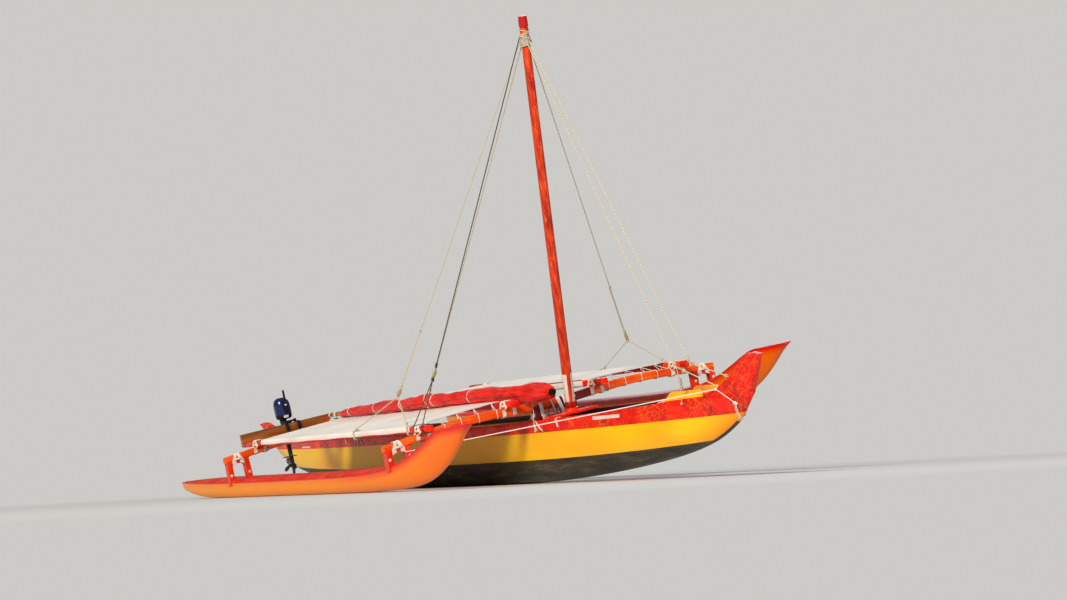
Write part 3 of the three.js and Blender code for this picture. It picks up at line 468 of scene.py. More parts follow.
def half_breadth(x, z, inset=0.0):
    """Half breadth of the hull's skin at a height."""
    beam, keel, sheer = hull_at(x)
    turn = keel + BILGE_SHARE * (sheer - keel)
    if z >= turn:
        return beam * (BILGE_BEAM + (1 - BILGE_BEAM) * (z - turn) / (sheer - turn)) - inset
    depth = min(max((turn - z) / (turn - keel - inset), 0.0), 1.0)
    return (beam * BILGE_BEAM - inset) * sqrt(1 - depth * depth)


def hull_section(x, inset):
    """From the port sheer round the keel to the starboard sheer."""
    beam, keel, sheer = hull_at(x)
    turn = keel + BILGE_SHARE * (sheer - keel)
    half = []
    for i in range(SIDE_STEPS):
        z = sheer - (sheer - turn) * i / SIDE_STEPS
        half.append((half_breadth(x, z, inset), z))
    for i in range(BILGE_STEPS, 0, -1):
        angle = i / BILGE_STEPS * pi / 2
        half.append(((beam * BILGE_BEAM - inset) * sin(angle), turn - (turn - keel - inset) * cos(angle)))
    port = [Vector((x, y, z)) for y, z in half]
    return port + [Vector((x, 0, keel + inset))] + [Vector((p.x, -p.y, p.z)) for p in port[::-1]]


print("Half beam, keel and sheer amidships:", [round(value, 3) for value in hull_at(0)])

# %% Paint lines stored on the hull's vertices
RED_LINE, RED_RISE, RED_RISE_OVER = 0.63, 0.012, 6.0
BLACK_LINE, BLACK_LINE_END, BLACK_RISE_FROM, BLACK_RISE_OVER = 0.318, 0.382, 1.5, 4.1
STEM_BAND, STEM_BAND_END = 0.02, 6.16    # black along the foot of the stem, as far as here
STEM_GLOW, GLOW_FROM, GLOW_OVER = 0.22, 4.9, 1.0


def share_of(value, low, span):
    """How far a value is from low to the end of the span, from 0 to 1."""
    return min(max((value - low) / span, 0.0), 1.0)


def red_line(x):
    return RED_LINE + RED_RISE * (place_of(x) / RED_RISE_OVER) ** 2


def black_line(x):
    rise = share_of(place_of(x), BLACK_RISE_FROM, BLACK_RISE_OVER) ** 2
    line = BLACK_LINE + (BLACK_LINE_END - BLACK_LINE) * rise
    along_stem = hull_at(x)[1] + STEM_BAND if place_of(x) < STEM_BAND_END else 0.0
    return max(line, along_stem)


def store(mesh, name, measure):
    """Keeps a measure of each vertex, taken in the upright boat, for the shaders."""
    layer = mesh.attributes.new(name, "FLOAT", "POINT")
    spots = [UPRIGHT @ vertex.co for vertex in mesh.vertices]
    layer.data.foreach_set("value", [measure(spot) for spot in spots])


def paint_lines(piece):
    store(piece.data, "over_red", lambda p: p.z - red_line(p.x))
    store(piece.data, "over_black", lambda p: p.z - black_line(p.x))
    store(piece.data, "toward_stem",
          lambda p: max(0.0, 1 - abs(p.z - hull_at(p.x)[1]) / STEM_GLOW)
          * share_of(place_of(p.x), GLOW_FROM, GLOW_OVER))


print("Paint lines amidships:", red_line(0), black_line(0))

# %% The hull's skin
SECTION_APART, MAROON_FROM, EDGE_CROWN, WELD_GAP = 0.1, 2.6, 0.004, 0.0004
STEM_STATIONS = [5.7, 5.8, 5.9, 6.0, 6.08, 6.16, 6.24, 6.31, 6.38, 6.44, HULL_END]


def weld(work):
    """Joins the sheets where they meet."""
    bmesh.ops.remove_doubles(work, verts=work.verts, dist=WELD_GAP)


def hull():
    shape = Shape()
    aft = [along(-1, x) for x in STEM_STATIONS[::-1]]
    middle = places(along(-1, COCKPIT_END), COCKPIT_END, SECTION_APART)
    outside = [hull_section(x, 0) for x in aft + middle + STEM_STATIONS]
    shape.skin(outside, 0, closed=False, capped=False)
    inside = [hull_section(x, SHELL) for x in middle]
    change = next(i for i, x in enumerate(middle) if x > MAROON_FROM)
    shape.skin(inside[:change + 1], 2, closed=False, capped=False)
    shape.skin(inside[change:], 1, closed=False, capped=False)
    for end in (0, -1):
        ring = inside[end]
        shape.add(ring, [tuple(range(len(ring)))], 1 if end else 2)
    # The rounded edge that joins both sheets along the sheer
    for edge in (0, -1):
        out = [hull_section(x, 0)[edge] for x in middle]
        into = [hull_section(x, SHELL)[edge] for x in middle]
        crown = [(a + b) / 2 + Vector((0, 0, EDGE_CROWN)) for a, b in zip(out, into)]
        shape.skin([list(ring) for ring in zip(out, crown, into)], 0, closed=False, capped=False)
    for end in (0, -1):
        shape.add(outside[end], [tuple(range(len(outside[end])))], 0)
    # Flat tops of the closed ends, under the upswept pieces
    for xs in (aft + [middle[0]], [COCKPIT_END] + STEM_STATIONS):
        edges = [[hull_section(x, 0)[0], hull_section(x, 0)[-1]] for x in xs]
        shape.skin(edges, 0, closed=False, capped=False)
    nodes = [name for name in frame["nodes"] if name.startswith("hull_")]
    piece = make("hull", shape, [HULL_ENAMEL, MAROON_ENAMEL_AND_SHADE, OCHRE_ENAMEL],
                 replaces=nodes, smooth=50)
    worked(piece.data, weld)
    paint_lines(piece)
    return piece


print("Hull vertices:", len(hull().data.vertices))

# %% [markdown]
# ## The inner rails
#
# A wooden rail is bonded inside the sheer on each side and painted black. It could be a sharp
# bar, but a boat's rail is always eased by hand, so a rounded rectangle is swept along the sheer.

# %% Rounded sections and the two rails
RAIL_WIDTH, RAIL_DEPTH, RAIL_EASE, RAIL_PROUD, RAIL_END_GAP = 0.03, 0.05, 0.006, 0.002, 0.005


def rounded_box(width, height, radius, steps=3):
    """Corners of a rounded rectangle about its middle, as (across, up) pairs."""
    corners = []
    for quarter, (sx, sy) in enumerate(((1, 1), (-1, 1), (-1, -1), (1, -1))):
        for i in range(steps + 1):
            angle = (quarter + i / steps) * pi / 2
            corners.append((sx * (width / 2 - radius) + radius * cos(angle),
                            sy * (height / 2 - radius) + radius * sin(angle)))
    return corners


def side_name(side):
    return "port" if side > 0 else "starboard"


def rail(side):
    shape, section = Shape(), rounded_box(RAIL_WIDTH, RAIL_DEPTH, RAIL_EASE)
    rings = []
    for x in places(along(-1, COCKPIT_END) + RAIL_END_GAP, COCKPIT_END - RAIL_END_GAP, SECTION_APART):
        sheer, ring = hull_at(x)[2], []
        for across, up in section:
            z = sheer - RAIL_DEPTH / 2 + up
            y = half_breadth(x, z, SHELL) - RAIL_WIDTH / 2 + across
            ring.append((x, side * y, z + RAIL_PROUD))
        rings.append(ring)
    shape.skin(rings)
    return make(f"gunwale_{side_name(side)}", shape, [BLACK_ENAMEL])


for side in (1, -1):
    rail(side)

# %% [markdown]
# ## Decks and upswept ends
#
# A short deck closes each end of the hull, and a painted block rises from it in one sweep with
# the stem. It is carved from laminated wood, so its edges are softly rounded: a skin over rounded
# sections, narrow and tall at the tip, in the marbled red of the topsides.

# %% End decks
DECK_START, MANU_START, DECK_THICK, GLUE_LINE = 4.95, 5.755, 0.012, 0.0005
DECK_STEPS, DECK_CROWN, DECK_EASE, DECK_GAP = 8, 0.01, 0.003, 0.003


def end_deck(end):
    shape, rings = Shape(), []
    for x in places(DECK_START, MANU_START - DECK_GAP, SECTION_APART):
        (beam, _, sheer), at = hull_at(x), along(end, x)
        ring = []
        for i in range(-DECK_STEPS, DECK_STEPS + 1):
            across = i / DECK_STEPS
            crown = DECK_CROWN * (1 - across ** 2)
            ease = DECK_EASE if abs(across) == 1 else 0.0
            ring.append((at, beam * across, sheer + DECK_THICK - ease + crown))
        ring += [(at, beam, sheer + GLUE_LINE), (at, -beam, sheer + GLUE_LINE)]
        rings.append(ring)
    shape.skin(rings)
    node = "fore_deck" if end > 0 else "aft_deck"
    return make(node + "_planked", shape, [RED_ENAMEL], replaces=[node])


print("Half beam where the decks start:", round(hull_at(DECK_START)[0], 3))

# %% Upswept end pieces
# x, half width, underside, top
MANU_STATIONS = [(5.755, 0.109, 0.84, 0.872), (5.95, 0.09, 0.84, 0.906),
                 (6.15, 0.07, 0.84, 0.982), (6.32, 0.055, 0.84, 1.074),
                 (6.5, 0.042, 0.84, 1.196), (6.545, 0.039, 0.886, 1.216),
                 (6.68, 0.036, 1.04, 1.224), (6.785, 0.032, 1.186, 1.2)]
STERN_RISE = 0.5    # the stern's piece rises half as high as the bow's
SHEER_END, MANU_BASE = 0.84, 0.8403
LEAST_RISE, LEAST_TALL, TOP_EASE, STEM_EASE, STEM_EASE_RATE = 0.014, 0.01, 0.016, 0.026, 0.16


def straight(table, place, column):
    """Value between two rows of a table, without rounding its corners."""
    for before, after in zip(table, table[1:]):
        if place <= after[0]:
            share = (place - before[0]) / (after[0] - before[0])
            return before[column] + (after[column] - before[column]) * share
    return table[-1][column]


def end_piece(end, rise):
    shape, rings = Shape(), []
    on_hull = places(MANU_START, HULL_END, 0.05)
    for x in on_hull + places(HULL_END, MANU_STATIONS[-1][0], 0.03)[1:]:
        half = faired(MANU_STATIONS, x, 1)
        low = MANU_BASE + (straight(MANU_STATIONS, x, 2) - SHEER_END) * rise
        drawn = faired if x < HULL_END else straight
        top = MANU_BASE + max(drawn(MANU_STATIONS, x, 3) - SHEER_END, LEAST_RISE) * rise
        tall = max(top - low, LEAST_TALL)
        above = min(TOP_EASE, tall * 0.4, half * 0.45)
        below = min(max(0.0004, STEM_EASE_RATE * (x - HULL_END)), STEM_EASE, tall * 0.4)
        outline = rounded_box(2 * half, tall, above, 4)[:10]
        outline += rounded_box(2 * half, tall, below, 4)[10:]
        rings.append([(along(end, x), across, low + tall / 2 + up) for across, up in outline])
    shape.skin(rings)
    node = "bow_manu" if end > 0 else "stern_manu"
    return make(node + "_carved", shape, [RED_ENAMEL], replaces=[node], smooth=50)


for end, rise in ((1, 1.0), (-1, STERN_RISE)):
    end_deck(end)
    end_piece(end, rise)

# %% [markdown]
# ## Wash boards
#
# Two thin boards stand on the edges of the foredeck and throw spray aside. They are bent plywood
# with a sanded top edge, in the yellow of the hull.

# %% Wash boards
# x, height
WASH_STATIONS = [(5.09, 0.006), (5.23, 0.088), (5.48, 0.082), (5.74, 0.07)]
WASH_THICK, WASH_FLARE, WASH_INSET, WASH_GLUE, WASH_LEAST = 0.014, 0.004, 0.003, 0.0006, 0.006
# across in board thicknesses, up in board heights
WASH_SECTION = ((0.5, 0), (0.5, 0.5), (0.45, 0.96), (0.2, 1), (-0.2, 1), (-0.45, 0.96),
                (-0.5, 0.5), (-0.5, 0))


def wash_board(side):
    shape, rings = Shape(), []
    for x in places(WASH_STATIONS[0][0], WASH_STATIONS[-1][0], 0.025):
        beam, _, sheer = hull_at(x)
        low = sheer + DECK_THICK + WASH_GLUE
        height = max(straight(WASH_STATIONS, x, 1), WASH_LEAST)
        ring = []
        for across, up in WASH_SECTION:
            y = beam - WASH_INSET - WASH_THICK / 2 + across * WASH_THICK + WASH_FLARE * up
            ring.append((x, side * y, low + height * up))
        rings.append(ring)
    shape.skin(rings)
    node = f"wash_board_{side_name(side)}"
    return make(node + "_bent", shape, [YELLOW_ENAMEL], replaces=[node])


for side in (1, -1):
    wash_board(side)

# %% [markdown]
# ## The floats
#
# Each float is a slender sealed hull with a crowned deck, and its bow rises in one long curve.
# The paint on its sides is airbrushed: yellow aft, orange forward and a soft red edge below the
# deck. So the vertices store how far they lie below the deck's edge, and the shader fades the
# colours from there and along the boat.

# %% Float paint


def float_enamel():
    # Real thing: gloss enamel with colours airbrushed over each other. It gives the eye soft
    # fades from yellow to orange and red under the same hard shine as the hull's.
    material, tree, place = new_finish("airbrushed gloss enamel")
    x = add(tree, "SeparateXYZ", {0: place}, "X")
    stretched = add(tree, "Mapping", {"Vector": place, "Scale": lumps(666.7, 250, 250)})
    cloud = add(tree, "TexNoise", {"Vector": stretched, "Scale": 1.0, "Detail": 3.0})
    soft = add(tree, "Math", {0: cloud, 1: 0.5}, operation="SUBTRACT")
    drift = add(tree, "Math", {0: soft, 1: 1.6, 2: x}, operation="MULTIPLY_ADD")
    forward = add(tree, "MapRange", {"Value": drift, "From Min": -4.4, "From Max": 4.2})
    body = add(tree, "ValToRGB", {"Fac": forward},
               stops=[(0.0, "#FFA600"), (0.5, "#FC9C00"), (0.8, "#F68800"), (1.0, "#F07000")])
    below = add(tree, "Attribute", output="Fac", attribute_name="below_deck")
    edge = add(tree, "MapRange", {"Value": below, "From Min": 0.018, "From Max": 0.085,
                                  "To Min": 1.0, "To Max": 0.0})
    bow = add(tree, "MapRange", {"Value": x, "From Min": 0.5, "From Max": 3.6, "To Min": 0.3,
                                  "To Max": 1.0})
    share = add(tree, "Math", {0: edge, 1: bow}, operation="MULTIPLY")
    colour = add(tree, "Mix", {0: share, 6: body, 7: tone("#E81C06")}, 2, data_type="RGBA")
    waves = add(tree, "Bump", {"Height": cloud, "Distance": 0.0006, "Strength": 1.0})
    return close_finish(material, add(tree, "BsdfPrincipled", {
        "Base Color": colour, "Roughness": 0.33, "IOR": 1.5,
        "Coat Weight": 0.08, "Coat Roughness": 0.06, "Normal": waves}))


FLOAT_ENAMEL = float_enamel()
# The raised deck edge is brushed in one clean magenta red.
EDGE_ENAMEL = brushed_enamel("magenta brushed enamel", ("#D01430", "#DC1C3C", "#E42A4C"),
                                  (333.3, 333.3, 333.3), 0.3, 0.2)

# %% Float hulls
FLOAT_Y = 2.0
# x, underside, deck edge, half width, deck crown
FLOAT_STATIONS = [(-4.45, 0.5, 0.606, 0.034, 0.006), (-4.15, 0.442, 0.602, 0.072, 0.02),
                  (-3.65, 0.396, 0.597, 0.112, 0.036), (-2.9, 0.38, 0.592, 0.142, 0.048),
                  (0.0, 0.38, 0.588, 0.15, 0.05), (1.5, 0.383, 0.602, 0.15, 0.05),
                  (2.1, 0.396, 0.632, 0.147, 0.048), (2.5, 0.412, 0.68, 0.14, 0.042),
                  (2.9, 0.446, 0.768, 0.126, 0.032), (3.25, 0.52, 0.884, 0.106, 0.02),
                  (3.64, 0.664, 1.018, 0.082, 0.008), (3.93, 0.82, 1.036, 0.064, 0.005),
                  (4.14, 0.958, 1.046, 0.05, 0.004), (4.29, 1.044, 1.056, 0.038, 0.002)]
FLOAT_APART, FLOAT_STEPS, CROWN_STEPS = 0.07, 18, 8
FULLNESS = 0.8    # below 1 the bilge is fuller than an ellipse
DECK_BEAD, BEAD_INSET, BEAD_RAISE = 0.009, 0.003, 0.002


def float_at(x):
    """Underside, deck edge, half width and deck crown at a point along the float."""
    return [faired(FLOAT_STATIONS, x, column) for column in (1, 2, 3, 4)]


def float_hull(side):
    shape, rings, decks, beads = Shape(), [], [], ([], [])
    for x in places(FLOAT_STATIONS[0][0], FLOAT_STATIONS[-1][0], FLOAT_APART):
        low, edge, half, crown = float_at(x)
        ring = []
        for i in range(FLOAT_STEPS + 1):
            angle = pi * i / FLOAT_STEPS
            depth = (edge - low) * sin(angle) ** FULLNESS
            ring.append(Vector((x, side * FLOAT_Y + half * cos(angle), edge - depth)))
        rings.append(ring)
        decks.append([Vector((x, side * FLOAT_Y + half * cos(pi * i / CROWN_STEPS),
                              edge + crown * sin(pi * i / CROWN_STEPS)))
                      for i in range(CROWN_STEPS + 1)])
        for bead, toward in zip(beads, (1, -1)):
            bead.append(Vector((x, side * FLOAT_Y + toward * (half - BEAD_INSET), edge + BEAD_RAISE)))
    shape.skin(rings, 0, closed=False, capped=False)
    shape.skin(decks, 1, closed=False, capped=False)
    for index in (0, -1):
        ring = rings[index] + decks[index][::-1]
        shape.add(ring, [tuple(range(len(ring)))], 0)
    for bead in beads:
        shape.rope(bead, DECK_BEAD, 8, 2, flat=0.8)
    node = f"float_{side_name(side)}"
    piece = make(node + "_moulded", shape, [FLOAT_ENAMEL, RED_ENAMEL, EDGE_ENAMEL],
                 replaces=[node], smooth=45)
    store(piece.data, "below_deck", lambda p: float_at(p.x)[1] - p.z)


for side in (1, -1):
    float_hull(side)

# %% [markdown]
# ## Crossbeams
#
# The crossbeams are laminated wood, bent over a form into a low arch. A straight bar with a bend
# modifier would kink where the stations change, so each beam is a skin over rounded rectangles
# that follow the arch. A maroon stretch beside the mast on the front beam is painted shade, where the
# beam lies in shade.

# %% Crossbeams
BEAM_WIDTH, BEAM_EASE, END_NIP, END_LENGTH = 0.08, 0.017, 0.008, 0.006
# distance from the centreline, top height, depth
BEAM_STATIONS = [(0.0, 0.965, 0.097), (0.3, 0.978, 0.097), (0.65, 0.995, 0.097),
                      (1.0, 1.003, 0.095), (1.3, 0.992, 0.091), (1.6, 0.966, 0.086),
                      (2.165, 0.915, 0.078)]
SHADED_STRETCH = (0.1, 0.47)


def beam_at(y):
    """Top height and depth of a crossbeam at a distance from the centreline."""
    return faired(BEAM_STATIONS, abs(y), 1), faired(BEAM_STATIONS, abs(y), 2)


def crossbeam(end):
    shape, rings = Shape(), []
    reach = BEAM_STATIONS[-1][0]
    ys = [-reach, -reach + END_LENGTH] + places(-reach + 0.02, reach - 0.02, 0.07)
    ys += [reach - END_LENGTH, reach]
    for y in ys:
        top, depth = beam_at(y)
        nip = END_NIP if abs(y) == reach else 0.0
        rings.append([(end * BEAM_X + across, y, top - depth / 2 + up) for across, up in
                      rounded_box(BEAM_WIDTH - 2 * nip, depth - 2 * nip, BEAM_EASE, 4)])
    shape.skin(rings)
    if end > 0:
        # The front beam's stretch beside the mast gets the maroon finish as painted shade.
        for index, face in enumerate(shape.faces):
            y = sum(shape.points[i].y for i in face) / len(face)
            if SHADED_STRETCH[0] < y < SHADED_STRETCH[1]:
                shape.finishes[index] = 1
    node = "crossbeam_front" if end > 0 else "crossbeam_rear"
    return make(node + "_laminated", shape, [ORANGE_ENAMEL, MAROON_ENAMEL_AND_SHADE],
                replaces=[node])


for end in (1, -1):
    crossbeam(end)

# %% [markdown]
# ## Sawn and moulded pieces with eased edges
#
# Chocks, supports, side rails, seats and brackets already have their real outline in the CAD
# model. They lack the small radius that sanding or casting leaves, which catches the light. A
# copy of the node's mesh gets its flat faces joined and then a bevel of that radius.

# %% An eased copy of a CAD node
SAME_POINT, SAME_PLANE = 0.00002, radians(2.0)


def eased(node, radius, finishes, body="boat", segments=2, smooth=38, angle=25):
    """Bevels the edges that are sharper than an angle in degrees."""
    def ease(work):
        bmesh.ops.remove_doubles(work, verts=work.verts, dist=SAME_POINT)
        bmesh.ops.dissolve_limit(work, angle_limit=SAME_PLANE, verts=work.verts, edges=work.edges)
        sharp = [edge for edge in work.edges if len(edge.link_faces) == 2
                 and edge.calc_face_angle() > radians(angle)]
        bmesh.ops.bevel(work, geom=sharp, offset=radius, offset_type="OFFSET",
                        segments=segments, profile=0.5, affect="EDGES", clamp_overlap=True)

    mesh = frame["nodes"][node].data.copy()
    mesh.name = node + "_eased"
    mesh.materials.clear()    # the CAD node's own finish
    worked(mesh, ease)
    return settle(node + "_eased", mesh, finishes, body, [node], smooth)


for node in ("crossbeam_chock_front", "crossbeam_chock_rear"):
    eased(node, 0.006, [MAROON_ENAMEL_AND_SHADE])
eased("mast_step", 0.006, [RED_ENAMEL])
for place in ("front_port", "front_starboard", "rear_port", "rear_starboard"):
    eased("pylon_" + place, 0.008, [PYLON_ENAMEL], segments=3)
for place in ("inner_port", "inner_starboard", "outer_port", "outer_starboard"):
    eased("stringer_" + place, 0.006, [RED_ENAMEL])

# %% [markdown]
# ## Varnished wood
#
# The seats and the motor's board are plain planks, oiled and varnished. A plank shows long grain
# lines that wander a little, darker streaks every few centimetres and a clear coat that shines.
# The grain runs across the boat, along each plank, so the noise is stretched that way: one line
# is about 9 mm wide and 0.7 m long.

# %% Varnished plank
# Millimetres. Real grain lines are 1 mm wide, and these are drawn coarser so that they show
GRAIN_WIDTH, GRAIN_LENGTH, STREAK_WIDTH, STREAK_LENGTH = 8.571, 714.3, 55.56, 833.3


def varnished_plank():
    # Real thing: sawn hardwood, sanded, oiled and varnished. It gives the eye warm long lines
    # under a clear coat that catches the lamp.
    material, tree, place = new_finish("varnished hardwood plank")
    lines = add(tree, "Mapping", {"Vector": place,
                                  "Scale": lumps(GRAIN_WIDTH, GRAIN_LENGTH, GRAIN_WIDTH)})
    grain = add(tree, "TexNoise", {"Vector": lines, "Scale": 1.0, "Detail": 5.0, "Distortion": 0.4})
    bands = add(tree, "Mapping", {"Vector": place,
                                  "Scale": lumps(STREAK_WIDTH, STREAK_LENGTH, STREAK_WIDTH)})
    streaks = add(tree, "TexNoise", {"Vector": bands, "Scale": 1.0, "Detail": 3.0})
    both = add(tree, "Mix", {0: 0.5, 2: grain, 3: streaks})
    colour = add(tree, "ValToRGB", {"Fac": both},
                 stops=[(0.34, "#5E3414"), (0.48, "#965C28"), (0.60, "#B67C3C"), (0.70, "#CC9852")])
    ridges = add(tree, "Bump", {"Height": grain, "Distance": 0.0003, "Strength": 1.0})
    return close_finish(material, add(tree, "BsdfPrincipled", {
        "Base Color": colour, "Roughness": 0.32, "IOR": 1.5,
        "Coat Weight": 0.6, "Coat Roughness": 0.12, "Normal": ridges}))


VARNISHED_PLANK = varnished_plank()
for number in range(1, 7):
    eased(f"seat_{number}", 0.005, [VARNISHED_PLANK])
eased("motor_board", 0.005, [VARNISHED_PLANK])

# %% [markdown]
# ## Cloth side decks
#
# Each side deck is one piece of tight white cloth, pulled over the inner and the outer rail and
# laced to both crossbeams. A cloth simulation would only find the flat shape that tight cloth
# takes, so the sheet is drawn directly: it folds down over both rails, hangs slack by less than
# 2 cm between them, and its front and rear edges are scalloped where the lacing pulls.

# %% Woven deck cloth
# Millimetres. The thread is drawn three times as coarse as the real 2 mm weave, so that it shows
THREAD_SPACING, STAIN_SIZE = 6, 625
WAVE_REPEAT = 314    # a wave texture of scale 1 repeats after this much, and over two threads


def deck_cloth():
    # Real thing: coarse woven polyester awning cloth. It gives the eye a matt, soft white with
    # weather stains, faint pull creases and a fine square weave.
    material, tree, place = new_finish("woven polyester deck cloth")
    waves = {"Vector": place, "Scale": WAVE_REPEAT / (2 * THREAD_SPACING)}
    warp = add(tree, "TexWave", waves, "Fac", bands_direction="X")
    weft = add(tree, "TexWave", waves, "Fac", bands_direction="Y")
    weave = add(tree, "Math", {0: warp, 1: weft}, operation="MULTIPLY")
    stains = add(tree, "TexNoise", {"Vector": place, "Scale": lumps(STAIN_SIZE), "Detail": 5.0})
    colour = add(tree, "ValToRGB", {"Fac": stains},
                 stops=[(0.30, "#E0DDD5"), (0.46, "#EDEBE6"), (0.70, "#F7F6F3")])
    pulls = add(tree, "Mapping", {"Vector": place, "Scale": lumps(625, 200, 333.3)})
    creases = add(tree, "TexNoise", {"Vector": pulls, "Scale": 1.0, "Detail": 3.0})
    soft = add(tree, "Bump", {"Height": creases, "Distance": 0.012, "Strength": 0.5})
    fine = add(tree, "Bump", {"Height": weave, "Distance": 0.0006, "Strength": 0.6, "Normal": soft})
    return close_finish(material, add(tree, "BsdfPrincipled", {
        "Base Color": colour, "Roughness": 0.82, "IOR": 1.46,
        "Sheen Weight": 0.25, "Sheen Roughness": 0.5, "Normal": fine}))


DECK_CLOTH = deck_cloth()

# %% Section of a side deck
RAIL_IN_Y, RAIL_OUT_Y, RAIL_HALF, RAIL_SUNK = 0.577, 1.67, 0.037, 0.003
CLOTH_LIFT, FOLD_ROUND, DECK_SPANS = 0.0035, 0.014, 30
# The cloth's free edges hang this far below the tops of the inner and the outer rail
INNER_HANG, OUTER_HANG = (0.062, 0.045, 0.028, 0.014), (0.014, 0.028, 0.04)


def rail_middle(y):
    return beam_at(y)[0] + RAIL_HALF - RAIL_SUNK


def deck_profile():
    """Half-section of the cloth, from the inboard fold to the outboard fold, as (y, z, slack)."""
    inner, outer = rail_middle(RAIL_IN_Y) + RAIL_HALF, rail_middle(RAIL_OUT_Y) + RAIL_HALF
    low_in = RAIL_IN_Y - RAIL_HALF - CLOTH_LIFT
    low_out = RAIL_OUT_Y + RAIL_HALF + CLOTH_LIFT
    section = [(low_in, inner - hang, 0) for hang in INNER_HANG]
    section += [(low_in + 0.005, inner - 0.003, 0), (low_in + FOLD_ROUND, inner + CLOTH_LIFT, 0)]
    for i in range(1, DECK_SPANS):
        share = i / DECK_SPANS
        y = low_in + FOLD_ROUND + (low_out - low_in - 2 * FOLD_ROUND) * share
        section.append((y, inner + CLOTH_LIFT + (outer - inner) * share, 4 * share * (1 - share)))
    section += [(low_out - FOLD_ROUND, outer + CLOTH_LIFT, 0), (low_out - 0.005, outer - 0.003, 0)]
    section += [(low_out, outer - hang, 0) for hang in OUTER_HANG]
    return section + [(low_out + 0.001, outer - 0.052, 0)]


print("Points across a side deck:", len(deck_profile()))

# %% Side decks
DECK_REACH, DECK_SAG, CLOTH_THICK = 2.225, 0.016, 0.003
TIE_YS, SCALLOP_DEEP, SCALLOP_HALF = [0.72, 0.95, 1.17, 1.38, 1.57], 0.028, 0.11
HEM_WAVE, HEM_WAVES = 0.004, 7.3
FOLDS_FROM = 0.57    # the rails' sides begin this far from the middle of the deck


def tie_pull(y):
    """How far the edge falls back from the lacing, between two ties."""
    nearest = min(abs(y - tie) for tie in TIE_YS)
    return SCALLOP_DEEP * min(nearest / SCALLOP_HALF, 1.0) ** 1.5


def deck_surface(side):
    section, rings = deck_profile(), []
    end = [DECK_REACH - 0.012, DECK_REACH]
    middle = places(-DECK_REACH + 0.03, DECK_REACH - 0.03, 0.045)
    for x in [-x for x in end[::-1]] + middle + end:
        toward_end = abs(x) / DECK_REACH
        slack = DECK_SAG * (1 - toward_end ** 6)
        hem = HEM_WAVE * sin(HEM_WAVES * x + 0.4 * side)
        ring = []
        for index, (y, z, loose) in enumerate(section):
            edge = tie_pull(y) * toward_end ** 12
            wave = hem if index in (0, len(section) - 1) else 0.0
            ring.append(Vector((x - copysign(edge, x), side * y, z - slack * loose + wave)))
        rings.append(ring)
    return rings


def side_deck(side):
    shape = Shape()
    upper, under = deck_surface(side), deck_surface(side)
    middle_y = side * (RAIL_IN_Y + RAIL_OUT_Y) / 2
    for ring in under:
        for point in ring:
            inward = middle_y - point.y
            point.z -= CLOTH_THICK
            if abs(inward) > FOLDS_FROM:
                point.y += copysign(min(CLOTH_THICK, abs(inward)), inward)
    shape.skin([top + bottom[::-1] for top, bottom in zip(upper, under)])
    node = f"trampoline_{side_name(side)}"
    piece = make(node + "_cloth", shape, [DECK_CLOTH], replaces=[node], smooth=60)
    across = sum((b - a).length for a, b in zip(upper[9], upper[9][1:]))
    return across


for side in (1, -1):
    print("Side deck cut, metres:", round(side_deck(side), 2), "by", 2 * DECK_REACH)

# %% [markdown]
# ## Lacing and lashings
#
# What can be tied on this boat isn't bolted: turns of braided cord hold rails, crossbeams,
# supports and hull. A texture of ropes would look painted on, so every turn is a tube that
# follows the faces it is pulled against. The UV map along the rope gives a fine slanting pattern.
# Small numbers in a turn are metres by which it stands off a face or rounds an edge.

# %% Braided rope
BRAID_PITCH, LAID_PITCH = 12, 18    # millimetres along the rope for one turn of the pattern
CORD_RADIUS = 0.0045


def laid_rope(name, shade, light, pitch=BRAID_PITCH):
    """Rope whose strands turn once round it in each pitch; its grooves get painted shade and its crowns a
    painted highlight.
    """
    material, tree, _ = new_finish(name)
    run = add(tree, "UVMap", output="UV", uv_map="Run")
    around = add(tree, "SeparateXYZ", {0: run}, "X")
    metres = add(tree, "SeparateXYZ", {0: run}, "Y")
    turns = add(tree, "Math", {0: metres, 1: lumps(pitch), 2: around}, operation="MULTIPLY_ADD")
    angle = add(tree, "Math", {0: turns, 1: 2 * pi}, operation="MULTIPLY")
    wave = add(tree, "Math", {0: angle}, operation="SINE")
    height = add(tree, "Math", {0: wave, 1: 0.5, 2: 0.5}, operation="MULTIPLY_ADD")
    # Strand height sets the colour: painted shade in the grooves, painted highlight on the crowns.
    colour = add(tree, "ValToRGB", {"Fac": height}, stops=[(0.1, shade), (0.7, light)])
    strands = add(tree, "Bump", {"Height": height, "Distance": 0.0012, "Strength": 1.0})
    return close_finish(material, add(tree, "BsdfPrincipled", {
        "Base Color": colour, "Roughness": 0.85, "IOR": 1.46, "Sheen Weight": 0.2,
        "Normal": strands}))


# Real thing: braided polyester cord, and laid rope that sun and salt have greyed. It gives the
# eye a matt thread with slanting strands.
WHITE_CORD = laid_rope("white braided cord", "#C8C3B8", "#F4F2EC")
TAN_ROPE = laid_rope("weathered tan rope", "#9E957E", "#DDD6BF", LAID_PITCH)
DARK_ROPE = laid_rope("weathered dark rope", "#34352F", "#605E50", LAID_PITCH)


def loop(shape, points, radius=CORD_RADIUS, bend=0.35):
    """A taut closed turn of cord: straight runs between points, with rounded corners."""
    path, count = [], len(points)
    points = [Vector(point) for point in points]
    for i, point in enumerate(points):
        before, after = points[i - 1], points[(i + 1) % count]
        for share in (1 - bend, 1 - bend / 3):
            path.append(before.lerp(point, share))
        for share in (bend / 3, bend):
            path.append(point.lerp(after, share))
    path.append(path[0].copy())
    shape.rope(path, radius, 6)


def rigged(name, shape, ropes=(WHITE_CORD,), replaces=()):
    """A finished piece of rope work."""
    return make(name, shape, ropes, replaces=replaces, smooth=60)



